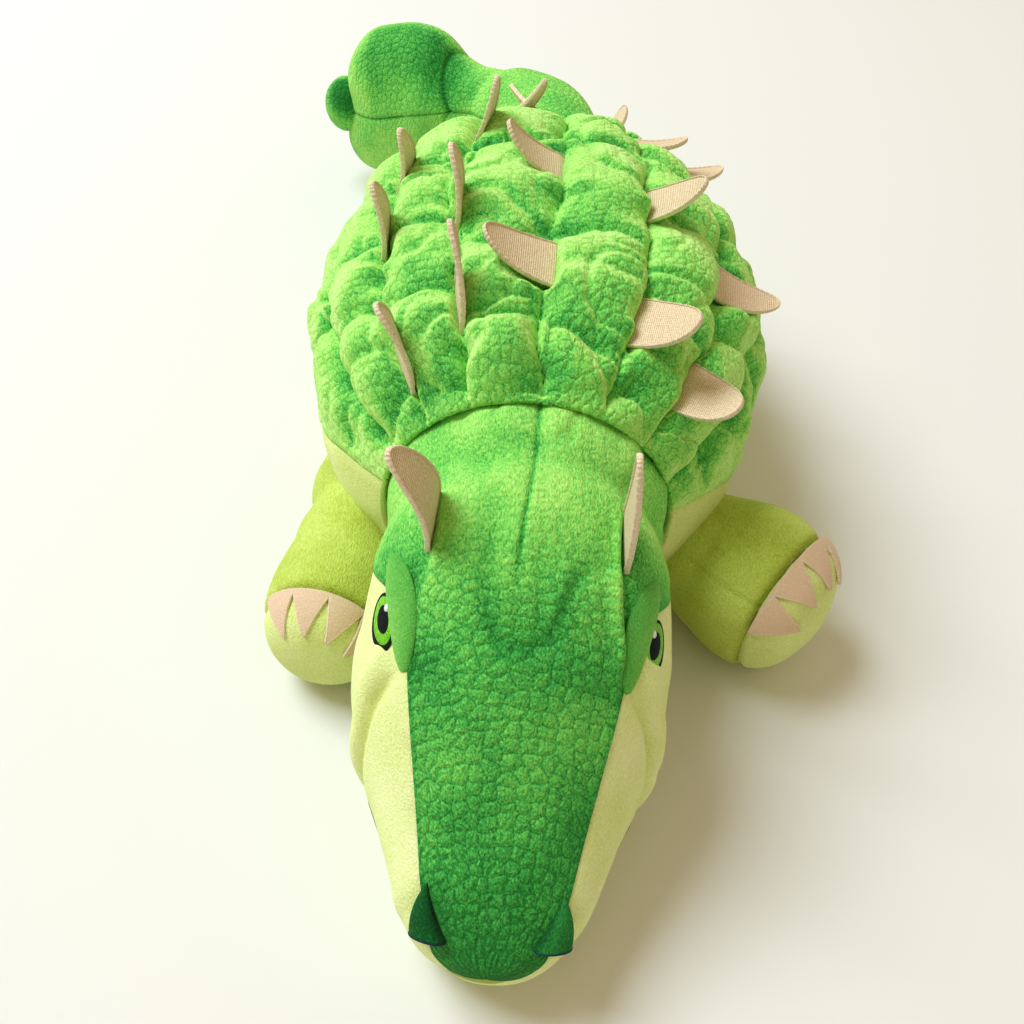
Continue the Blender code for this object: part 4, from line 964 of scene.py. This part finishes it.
def head_face():
    """The smooth face: cheeks, chin and throat. A fold runs down each cheek behind the mouth's
    corner, and soft dents follow the pull of the seams. Behind, it leaves room for the collar."""
    points, inner, share, turns, rim, wide = head_surface((260, 240), 16, False, 50)
    around = from_top(turns)
    seam = tucked((around - rim) * wide, 0.35, 1.6)
    off_fold = (share - smooth(around, CHEEK_FOLD_TURNS, CHEEK_FOLD_PLACES)) * HEAD_LENGTH
    window = ease(around, math.radians(40), math.radians(62)) * (1 - ease(around, 1.9, 2.3))
    fold = window * (bump(off_fold, 2.4 * MM) - 0.9 * bump(off_fold + 8 * MM, 6 * MM))
    dents = creases(points, 30 * MM, 43, 0.22)
    room = 1.6 * MM * (1 - ease(share, 0.14, 0.26))
    raise_by = -seam - 2.8 * MM * fold - 0.8 * MM * dents + 0.5 * MM * noise(points, 15 * MM, 47)
    raise_by = raise_by - room
    points = closed_ends(grounded(points + normals(points) * raise_by[..., None]))
    # Painted shade in the seam, the cheek fold and the dents.
    lay_and_shade = 0.78 - 0.10 * seam / MM - 0.2 * np.maximum(fold, 0) - 0.06 * dents
    shell = np.concatenate([points, inner], axis=1)
    piece(
        "head_face_plush", "head", [PALE_PLUSH], (shell, {"lay_and_shade": walled(lay_and_shade, inner)}),
        slot="pale_lime_plush", stands_for=("head_face_cover",), fill=0.85,
    )


def on_form(form, places, turns, lift):
    """Points over a form at places and turns, lifted off it along its normals."""
    along = form(places + TINY, turns) - form(places - TINY, turns)
    round_it = form(places, turns + TINY) - form(places, turns - TINY)
    return form(places, turns) + unit(np.cross(round_it, along)) * lift[..., None]


def head_pad(places, turns, width, height, count):
    """A padded strip or cord along a path of places and turns on the head. Its section is an oval:
    width metres each way round the head, height above it and 0.8 mm below."""
    angle = circle(count)
    steps = np.gradient(head_outward(places, turns)[:, 0], axis=0)
    round_it = head_outward(places, turns + TINY) - head_outward(places, turns - TINY)
    along = head_outward(places + TINY, turns) - head_outward(places - TINY, turns)
    round_it, along = (moved[:, 0] / (2 * TINY) for moved in (round_it, along))
    per_turn = np.linalg.norm(round_it, axis=-1)[:, None]
    per_place = np.linalg.norm(along, axis=-1)[:, None]
    by_turn = np.sum(steps * round_it, axis=-1)[:, None] / per_turn
    by_place = np.sum(steps * along, axis=-1)[:, None] / per_place
    size = np.maximum(np.hypot(by_turn, by_place), TINY / 1000)
    side = width * np.cos(angle)
    over = places + side * by_turn / size / per_place
    round_by = turns - side * by_place / size / per_turn
    lift = np.where(np.sin(angle) > 0, height * np.sin(angle), 0.8 * MM * np.sin(angle))
    return closed_ends(on_form(head_outward, over, round_by, lift + 0 * side))


def disc(place, turn, length, width, height, tilt):
    """An embroidered oval on the head: rings round its centre, domed to height, closed below and
    turned by tilt. The corners are a little less full than an ellipse's."""
    out_rings = 18
    ring = np.concatenate([np.linspace(0, 1, out_rings), np.linspace(1, 0, 4)[1:]])[:, None]
    below = np.arange(len(ring))[:, None] >= out_rings
    angle = circle(72)
    here, along, _ = seam_frame(head_outward, place, turn)
    per_place = np.linalg.norm(along) / (2 * TINY)
    around = head_outward(np.array([[place]]), np.array([[turn + TINY]]))[0, 0] - here
    per_turn = np.linalg.norm(around) / TINY
    a = ring * powered(np.cos(angle), 2 / EYE_POWER) * length / 2
    b = ring * np.sin(angle) * width / 2
    c, s = math.cos(tilt), math.sin(tilt)
    lift = np.where(below, -0.5 * MM, height * np.sqrt(np.clip(1.02 - ring**2, 0, 1)))
    over, round_by = place + (a * c - b * s) / per_place, turn + (a * s + b * c) / per_turn
    return on_form(head_outward, over, round_by, lift + 0 * a)


def eyes():
    """Each eye is four layers of satin stitch: a dark almond outline, a bright iris, a black pupil and
    a white glint, under a padded eyelid."""
    for name, side in (("left", 1), ("right", -1)):
        for layer, (cloth, ahead, over, *sizes) in EYE_LAYERS.items():
            place = -EYE_PLACE[0] + ahead * MM / HEAD_LENGTH
            turn = side * EYE_PLACE[1] + side * over * MM / HEAD_HALF_WIDTH
            grid = disc(place, turn, *(size * MM for size in sizes), side * EYE_TILT)
            piece(
                f"{name}_eye_{layer}", "head", [cloth], (grid, {}), slot="eye_thread",
                stands_for=(f"{name}_eye",) if layer == "outline" else (),
            )
        eyelid(name, side)


def eyelid(name, side):
    """A padded crescent over the eye, from behind it to the brow's front corner, widest in its middle.
    Its cross-section is an oval, with painted light along its top edge and painted shade along its lower
    one."""
    along = np.linspace(0, 1, 70)[:, None]
    bow = np.sin(math.pi * along)
    places = -(LID_PLACES[0] + (LID_PLACES[1] - LID_PLACES[0]) * along)
    turns = side * (LID_TURNS[0] - (LID_TURNS[0] - LID_TURNS[1]) * along - 0.08 * bow)
    width = LID_HALF_WIDTH * (0.12 + 0.88 * bow**0.6)
    count = 26
    points = head_pad(places, turns, width, LID_HEIGHT * (0.1 + 0.9 * bow**0.5), count)
    # Painted light on the pad's top edge and painted shade on its lower edge.
    lay_and_shade = 0.6 + 0.25 * side * np.cos(circle(count)) + 0 * along
    piece(
        f"{name}_eyelid_pad", "head", [LID_PLUSH], (points, {"lay_and_shade": lay_and_shade}),
        slot="mid_green_plush", stands_for=(f"{name}_eyelid",), fill=0.7,
    )


def horns():
    """Two petals behind the brow, bowed forwards."""
    for name, side in (("left", 1), ("right", -1)):
        frame_at = seam_frame(head_outward, -HORN_PLACE[0], side * HORN_PLACE[1])
        petal(f"{name}_horn_petal", "head", HORN_SIZES, frame_at, *HORNS[name], f"{name}_horn")


def nostrils():
    """Each nostril is a folded flap: half a cone from a point on the seam to a rim that stands off the
    nose. Its height over the straight ground between its two sides is H s^0.8 sin^0.8(a), and a dark
    thread runs round the rim, in front of a hollow painted dark as shade. The flap's inside is painted
    dark as shade, one end of its arch is painted darker, and the flap on +X is painted lighter as lit."""
    for name, side in (("left", 1), ("right", -1)):
        reach = np.linspace(0, 1, 30)[:, None]
        arch = np.linspace(0, math.pi, 34)[None, :]
        over = (1 - np.cos(arch)) / 2
        share = NOSTRIL_SHARES[0] + (NOSTRIL_SHARES[1] - NOSTRIL_SHARES[0]) * reach
        share = share + (0.018 - 0.030 * over) * reach
        turn = side * np.radians(NOSTRIL_TURNS[0] + NOSTRIL_TURNS[1] * over * reach)
        height = NOSTRIL_HEIGHT * reach**0.8 * np.sin(arch) ** 0.8
        outside = on_form(head_outward, -share, turn, height + 0.5 * MM)
        inside = on_form(head_outward, -share, turn, np.maximum(height - 1.3 * MM, -0.8 * MM))
        shell = np.concatenate([outside, inside[:, ::-1]], axis=1)
        shell[0] = shell[0].mean(axis=0)
        hollow = shell[-1:].mean(axis=0).mean(axis=0)
        shell = np.concatenate([shell, 0 * shell[-1:] + hollow])
        # Painted shade at one end of the arch and painted light on the flap at +X; the inside and the
        # hollow get painted shade below.
        shade = 0.62 + 0.15 * side - 0.35 * bump(arch, 0.5) + 0 * height
        lay_and_shade = np.concatenate([shade, 0 * height], axis=1)
        rim = outside[-1]
        step = unit(np.gradient(rim, axis=0))
        over_rim = unit(np.cross(step, UP))
        size = 0.32 * MM * np.sqrt(np.clip(np.sin(arch[0]), 0, 1))[:, None]
        thread_rim = closed_ends(cord(rim, over_rim, size, np.cross(over_rim, step), size))
        piece(
            f"{name}_nostril_fold", "head", [FLAP_PLUSH, NAVY_THREAD],
            (shell, {"lay_and_shade": np.concatenate([lay_and_shade, 0 * lay_and_shade[-1:]])}),
            (thread_rim, {"lay_and_shade": np.zeros((1, 1))}),
            slot="green_embossed_plush", stands_for=(f"{name}_nostril_flap",),
        )


def mouth():
    """The embroidered line of the mouth: from a corner on one cheek, round under the nose, to the
    other, in a thin dark cord of thread."""
    run = np.linspace(-1, 1, 300)[:, None]
    share = MOUTH_CORNER[0] + MOUTH_LENGTH * (1 - run**2) ** 0.5
    turn = math.pi - run * MOUTH_CORNER[1] * np.abs(run) ** 1.2
    width = MOUTH_THREAD + 0 * share
    points = grounded(head_pad(-share, turn, width, width, 8))
    piece("mouth_embroidery", "head", [DARK_THREAD], (points, {}), slot="eye_thread")


def neck():
    """The stuffing of the neck, a ball of fibre inside the head."""
    angle, turn = np.linspace(0, math.pi, 24)[:, None], circle(36)
    radius = NECK_CORE * np.sin(angle)
    ball = stacked(radius * np.sin(turn), NECK_CORE * np.cos(angle), radius * np.cos(turn))
    points = closed_ends(ball + np.array(NECK))
    piece(
        "neck_stuffing", "neck", [FIBRE], (points, {"lay_and_shade": np.full((1, 1), 0.3)}),
        slot="white_fibre", stands_for=("neck_filling",), fill=0.8,
    )


# Legs


def leg_rings(hip, ahead, along, radius, height, turns):
    """Rings of a leg, upright across its direction."""
    spine = np.array(hip) + along[..., None] * ahead
    spine = spine + (height[..., None] - hip[2]) * UP
    return ring_points(spine, np.cross(ahead, UP), radius, radius, radius, turns, (2, 2))


def seam_wall(ring, shares):
    """Rings that close a cover at its seam: the last ring, drawn in to its middle by shares."""
    return ring + (ring.mean(axis=1, keepdims=True) - ring) * shares[:, None, None]


def leg(name, side, hip_shares, reach, foot, heading):
    """A leg with its sole cap and claws. The cover runs from the hip's ball along the tube to the
    cap's seam, where both are drawn in. Two seams run along it, and pleats fan out from the cap's
    seam. Each closes behind the seam with a plain wall."""
    hip = (side * hip_shares[0] * TORSO_HALF_WIDTH, torso_y(hip_shares[1]), HIP_HEIGHT)
    heading = math.radians(heading)
    ahead = np.array((side * math.sin(heading), -math.cos(heading), 0.0))
    turns = circle(LEG_COLUMNS)
    wall_shares = np.linspace(0.05, 1, 6)
    wall_lay = np.zeros((len(wall_shares), LEG_COLUMNS))
    ball = np.linspace(math.pi, math.asin(LEG_RADIUS / HIP_BALL), 40)
    start = HIP_BALL * math.cos(ball[-1])
    tube = np.linspace(0, 1, 110)[1:]
    dome = np.linspace(0, SOLE_TURN, 14)[1:]
    grown = LEG_RADIUS + (foot - LEG_RADIUS) * np.sin(tube * math.pi / 2)
    along = (HIP_BALL * np.cos(ball), start + (reach - start) * tube, reach + SOLE_DOME * np.sin(dome))
    along = np.concatenate(along)[:, None]
    radius = np.concatenate([HIP_BALL * np.sin(ball), grown, foot * np.cos(dome)])[:, None]
    height = HIP_HEIGHT + (foot - SOLE_SINK - HIP_HEIGHT) * np.clip(along / reach, 0, 1)
    points = leg_rings(hip, ahead, along, radius, height, turns)
    out = normals(points, wrap=True)
    from_seam = along[-1, 0] - along
    side_seams = np.minimum(*(np.abs(turns - seam) for seam in LEG_SEAM_TURNS)) * foot
    fan = pleats(turns * foot, from_seam, 7 * MM, 53) * bump(from_seam, 12 * MM)
    drawn = tucked(from_seam, 1.6, 2.2) + 0.8 * MM * bump(side_seams, 1.1 * MM)
    swell = 2.0 * MM * bump(from_seam - 16 * MM, 13 * MM)
    raise_by = swell - drawn + 0.9 * MM * fan + 0.8 * MM * noise(points, 19 * MM, 59)
    raise_by = raise_by - 1.0 * MM * creases(points, 30 * MM, 61, 0.2)
    raise_by = raise_by - 1.4 * MM * (1 - ease(along, 12 * MM, 32 * MM))
    points = grounded(points + out * raise_by[..., None])
    points[0] = points[0].mean(axis=0)
    wall = seam_wall(points[-1:], wall_shares) - ahead * 1.2 * MM
    # Painted shade in the drawn seam, and painted sheen: darker where the leg faces up, ahead and
    # towards +X.
    lay_and_shade = 0.72 - 0.10 * drawn / MM - 0.20 * ease(out @ np.array((0.3, -0.5, 0.8)), 0.5, 1.0)
    piece(
        f"{name}_leg_plush", f"{name}_leg", [LEG_PLUSH],
        (np.concatenate([points, wall]), {"lay_and_shade": np.concatenate([lay_and_shade, wall_lay])}),
        slot="lime_plush", stands_for=(f"{name}_leg_cover", f"{name}_leg_filling"), fill=0.85,
    )
    dome = np.linspace(SOLE_TURN, math.pi / 2, 60)[:, None]

    def foot_point(angle, turn):
        far = reach + SOLE_DOME * np.sin(angle)
        return leg_rings(hip, ahead, far, foot * np.cos(angle), foot - SOLE_SINK + 0 * far, turn)

    points = foot_point(dome, turns)
    out = normals(points, wrap=True)
    from_seam = (dome - SOLE_TURN) * foot
    drawn = tucked(from_seam, 1.6, 2.2)
    fan = pleats(turns * foot, from_seam, 8 * MM, 55) * bump(from_seam, 10 * MM)
    raise_by = 1.4 * MM * bump(from_seam - 14 * MM, 12 * MM) - drawn + 0.7 * MM * fan
    raise_by = raise_by + 0.5 * MM * noise(points, 17 * MM, 67)
    points = grounded(points + out * raise_by[..., None])
    points[-1] = points[-1].mean(axis=0)
    wall = seam_wall(points[:1], wall_shares[::-1])
    # Painted shade in the drawn seam.
    lay_and_shade = 0.60 - 0.10 * drawn / MM + 0 * turns
    piece(
        f"{name}_cap_plush", f"{name}_leg", [PALE_PLUSH],
        (np.concatenate([wall, points]), {"lay_and_shade": np.concatenate([wall_lay, lay_and_shade])}),
        slot="pale_lime_plush", stands_for=(f"{name}_sole_cap",), fill=0.85,
    )
    claws(name, side, foot, foot_point)


def claws(name, side, foot, foot_point):
    """Four rounded felt lobes in one strip that hangs over the cap from its seam. Over a lobe's
    share c, its length is 1 - |2c - 1|^1.35 of the whole, a little more at the seam, and a thin
    stitched edge runs round it."""
    column = np.linspace(0, CLAW_COUNT, 34 * CLAW_COUNT + 1)[None, :]
    point = 1 - np.abs(2 * (column % 1) - 1) ** 1.35
    row = np.linspace(0, 1, 26)[:, None]
    dome = SOLE_TURN + (CLAW_TIP_TURN - SOLE_TURN) * row * (0.05 + 0.95 * point)
    turns = side * CLAW_SIDE + CLAW_SPREAD * (2 * column / CLAW_COUNT - 1) + 0 * row
    lift = 1.9 * MM + 0.8 * MM * point * row
    top = on_form(foot_point, dome, turns, lift)
    base = on_form(foot_point, dome, turns, lift - CLAW_THICKNESS)
    flat = np.stack([turns * foot, (dome - SOLE_TURN) * foot], axis=-1)
    shell = np.concatenate([top, base[::-1]])
    ends = [(end + end[::-1]) / 2 for end in (shell[:, :1], shell[:, -1:])]
    shell = np.concatenate([ends[0], shell, ends[1]], axis=1)
    flat = np.concatenate([flat, flat[::-1]])
    flat = np.concatenate([flat[:, :1], flat, flat[:, -1:]], axis=1)
    edge = on_form(foot_point, dome[-1:], turns[-1:], lift[-1:] - CLAW_THICKNESS / 2)[0]
    out = normals(top)[-1]
    size = 0.45 * MM * (1 + 0.2 * np.abs(np.sin(np.arange(len(edge)) * 1.9)))[:, None]
    size[0] = size[-1] = 0
    rim = cord(edge, np.cross(unit(np.gradient(edge, axis=0)), out), size, out, 1.6 * size)
    piece(
        f"{name}_claw_strip", f"{name}_leg", [CLAW_FELT, EDGE_THREAD],
        (shell, {"UVMap": flat}, True, False), (rim, {"UVMap": np.zeros((1, 1, 2))}),
        slot="tan_woven_cloth", stands_for=(f"{name}_claws",),
    )


# Tail


def path_point(at):
    """Place and level direction on a smooth curve through the tail's path, at from 0 to its last."""
    spots = np.array(TAIL_PATH)
    places = np.arange(len(spots))
    place, ahead, behind = (
        np.stack([smooth(at + shift, places, spots[:, k]) for k in range(3)], axis=-1)
        for shift in (0, TINY, -TINY)
    )
    step = ahead - behind
    step[..., 2] = 0
    return place, unit(step)


def tail_rings(spots, width, rise, turns, cleft=0.0):
    """Rings of the tail, upright across its path. A cleft draws a row's middle height in towards the
    body and from both sides, so that the end swells into an upper and a lower lobe."""
    place, step = spots
    level = rise * np.cos(turns)
    drawn = cleft * bump(level, CLEFT_SHARE * CLUB_HEIGHT)
    side = (width * (1 - CLUB_NOTCH * drawn) * np.sin(turns))[..., None] * np.cross(step, UP)[:, None]
    points = place[:, None] + side + level[..., None] * UP
    return grounded(points - (CLEFT_DEPTH * drawn)[..., None] * step[:, None])


def tail_rows():
    """Rows of the whole tail, from its ball in the torso to the end of the club: their places and
    directions, half widths, half heights, how deep the cleft is, and how far along the path they are."""
    first, step = path_point(np.array([0.0]))
    angle = np.linspace(math.pi, math.asin(0.9 * TAIL_ROOT_RADIUS / TAIL_ROOT_BALL), 24)
    ball_place = first[0] + (TAIL_ROOT_BALL * np.cos(angle))[:, None] * step[0]
    club_length = len(TAIL_PATH) - 1 - CLUB_START
    end = CLUB_END + (1 - CLUB_END) * np.sin(np.linspace(0, math.pi / 2, 40)[1:])
    tube = np.linspace(0.30, CLUB_START + club_length * CLUB_END, 250)
    at = np.concatenate([tube, CLUB_START + club_length * end])
    places, steps = path_point(at)
    share = np.clip((at - CLUB_START) / club_length, 0, 1)
    close = np.sqrt(1 - np.clip((share - CLUB_END) / (1 - CLUB_END), 0, 1) ** 2)
    body = TAIL_ROOT_RADIUS - 0.5 * MM * np.clip(at / 3.25, 0, 1)
    join = ease(at, 2.9, 3.35)
    round_part = TAIL_ROOT_BALL * np.sin(angle)
    round_part[0] = 0
    tall = body * (1 - join) + CLUB_HEIGHT * smooth(share, CLUB_PLACES, CLUB_HEIGHTS) * close * join
    deep = body * (1 - join) + CLUB_DEPTH * smooth(share, CLUB_PLACES, CLUB_DEPTHS) * close * join
    tall, deep = (np.concatenate([round_part, row]) for row in (tall, deep))
    notch = np.clip((share - CLUB_PLACES[4]) / (1 - CLUB_PLACES[4]), 0, 1) ** 1.5
    cleft, at = (np.concatenate([0 * angle, row])[:, None] for row in (notch, at))
    places = np.concatenate([ball_place, places])
    steps = np.concatenate([np.repeat(step, len(angle), axis=0), steps])
    return (places, steps), deep[:, None], tall[:, None], cleft, at


def tail():
    """The tail's upper and lower cover, each one piece from the body to the club's end. A pinched seam
    crosses them at the club's neck."""
    spots, deep, tall, cleft, at = tail_rows()
    rim = TAIL_SEAM_TURN + 0 * at
    for word, above in (("upper", True), ("lower", False)):
        turns, back = half_ring(rim, 150, 14, above)
        points = tail_rings(spots, deep, tall, turns, cleft)
        out = normals(points)
        seam = tucked(np.abs(from_top(turns) - rim) * tall, 1.0, 1.5)
        cross = bump((at - 3.80 - 0.35 * np.abs(np.cos(turns))) * TAIL_STEP, 1.1 * MM)
        folds = creases(points, 27 * MM, 71, 0.2) * bump(at - 3.5, 0.9)
        raise_by = -seam - 1.3 * MM * cross - 1.2 * MM * folds + 0.5 * MM * noise(points, 20 * MM, 73)
        points = closed_ends(grounded(points + out * raise_by[..., None]))
        inner = tail_rings(spots, 0.88 * deep, 0.88 * tall, back, cleft)
        inner[0], inner[-1] = points[0, 0], points[-1, 0]
        shell = np.concatenate([points, inner], axis=1)
        # Painted sheen from the normals, and painted shade in the seam, the crossing seam and the folds.
        lay_and_shade = painted_sheen(out, 0.66) - 0.12 * seam / MM - 0.25 * cross - 0.12 * folds
        flat = stacked(at * TAIL_STEP, turns * (0.012 + 0.65 * tall))
        nodes = [f"tail_{part}_{word}_cover" for part in ("root", "club")]
        nodes += [f"tail_{part}_filling" for part in ("root", "club")] if above else []
        made = piece(
            f"tail_{word}_plush", None, [BACK_PLUSH], (shell, embossed(lay_and_shade, 1, flat, inner)),
            slot="green_embossed_plush", stands_for=nodes, fill=0.85,
        )
        start, end = path_point(np.array(TAIL_BEND))[0]
        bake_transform(made)
    tail_end(*(rows[-1] for rows in spots))


def tail_end(place, step):
    """The small padded lobe between the two lobes of the club's end."""
    angle = np.linspace(0, math.pi, 60)
    along = -np.cos(angle) * LOBE_HALF_LENGTH - CLEFT_DEPTH + 4 * MM
    rows = (place + along[:, None] * step, np.repeat(step[None], len(along), axis=0))
    bulge = np.sin(angle)[:, None]
    bulge[0] = bulge[-1] = 0
    turns = circle(110)
    points = tail_rings(rows, LOBE_HALF_WIDTH * bulge, LOBE_HALF_HEIGHT * bulge, turns)
    out = normals(points, wrap=True)
    seam = 1.1 * MM * bump(np.sin(turns) * LOBE_HALF_WIDTH, 1.4 * MM) * bulge
    points = closed_ends(grounded(points - out * seam[..., None]))
    flat = stacked(along[:, None], turns * 15 * MM)
    # Painted sheen from the normals, on a darker level than the tail's covers.
    values = {"lay_and_shade": painted_sheen(out, 0.42), "press": np.ones((1, 1)), "UVMap": flat}
    piece(
        "tail_end_lobe_plush", "tail_club", [BACK_PLUSH], (points, values),
        slot="green_embossed_plush", stands_for=("tail_club_end_lobe",), fill=0.8,
    )


# Room

CAMERA_PLACE = (-0.0128, -0.4012, 0.3857)
CAMERA_PITCH = math.radians(46.5236)
CAMERA_YAW = math.radians(1.3989)
CAMERA_ROLL = math.radians(6.773)
SENSOR = 36
FOCAL_PIXELS = 1083.95
FRAME_PIXELS = 1024
FLOOR_REACH = 30.0


def camera():
    """A camera at the photograph's place, with its yaw, its pitch below level and its roll."""
    yaw, pitch, roll = CAMERA_YAW, CAMERA_PITCH, CAMERA_ROLL
    level = Vector((math.cos(yaw), -math.sin(yaw), 0))
    ahead = math.cos(pitch)
    forward = Vector((math.sin(yaw) * ahead, math.cos(yaw) * ahead, -math.sin(pitch)))
    above = level.cross(forward)
    right = level * math.cos(roll) + above * math.sin(roll)
    upward = -level * math.sin(roll) + above * math.cos(roll)
    data = bpy.data.cameras.new("camera")
    data.sensor_width = SENSOR
    data.lens = FOCAL_PIXELS * SENSOR / FRAME_PIXELS
    data.clip_start = 0.01
    made = bpy.data.objects.new("camera", data)
    turn = Matrix((right, upward, -forward)).transposed().to_4x4()
    made.matrix_world = Matrix.Translation(CAMERA_PLACE) @ turn
    bpy.context.scene.collection.objects.link(made)
    bpy.context.scene.camera = made


def lamp(name, place, target, size, power, code):
    """A soft square lamp that shines from place to target."""
    data = bpy.data.lights.new(name, "AREA")
    data.size = size
    data.energy = power
    data.color = linear(code)[:3]
    made = bpy.data.objects.new(name, data)
    made.location = place
    made.rotation_euler = (Vector(target) - Vector(place)).to_track_quat("-Z", "Y").to_euler()
    bpy.context.scene.collection.objects.link(made)


def room():
    """A matt white floor under a large window light from behind on the left, with warmer pale light
    all round, and a pale backdrop that only the camera and reflections see."""
    material, _, shader = cloth_tree("matt_white_floor")
    shader.inputs["Base Color"].default_value = linear("#e6e6e2")
    shader.inputs["Roughness"].default_value = 0.7
    shader.inputs["Specular IOR Level"].default_value = 0.2
    mesh = bpy.data.meshes.new("floor")
    corners = [(FLOOR_REACH * x, FLOOR_REACH * y, 0) for x, y in ((-1, -1), (1, -1), (1, 1), (-1, 1))]
    mesh.from_pydata(corners, [], [(0, 1, 2, 3)])
    mesh.materials.append(material)
    floor = bpy.data.objects.new("floor", mesh)
    bpy.context.scene.collection.objects.link(floor)
    bpy.context.scene.view_settings.view_transform = "Standard"
    world = bpy.data.worlds.new("pale_room")
    bpy.context.scene.world = world
    world.use_nodes = True
    tree = world.node_tree
    seen = add(tree, "ShaderNodeBackground", Color=linear("#fbfaf4"), Strength=1.0)
    rays = add(tree, "ShaderNodeLightPath").outputs
    glossy, through, direct = (rays[f"Is {kind} Ray"] for kind in ("Glossy", "Transmission", "Camera"))
    mirrored = add(tree, "ShaderNodeMath", LARGER, _0=glossy, _1=through)
    plain = add(tree, "ShaderNodeMath", LARGER, _0=direct, _1=mirrored)
    sky = tree.nodes["Background"]
    sky.inputs["Color"].default_value = linear("#ffe7be")
    sky.inputs["Strength"].default_value = 0.50
    both = add(tree, "ShaderNodeMixShader", _0=plain, _1=sky, _2=seen)
    tree.links.new(both.outputs[0], tree.nodes["World Output"].inputs["Surface"])
    lamp("window", (-1.9, 0.6, 2.8), (0, 0, 0.05), 1.8, 130, "#eaf5ff")


def main():
    camera()
    room()
    torso()
    spikes()
    head_top()
    head_face()
    eyes()
    horns()
    nostrils()
    mouth()
    neck()
    for name, sizes in LEGS.items():
        leg(name, *sizes)
    tail()


main()
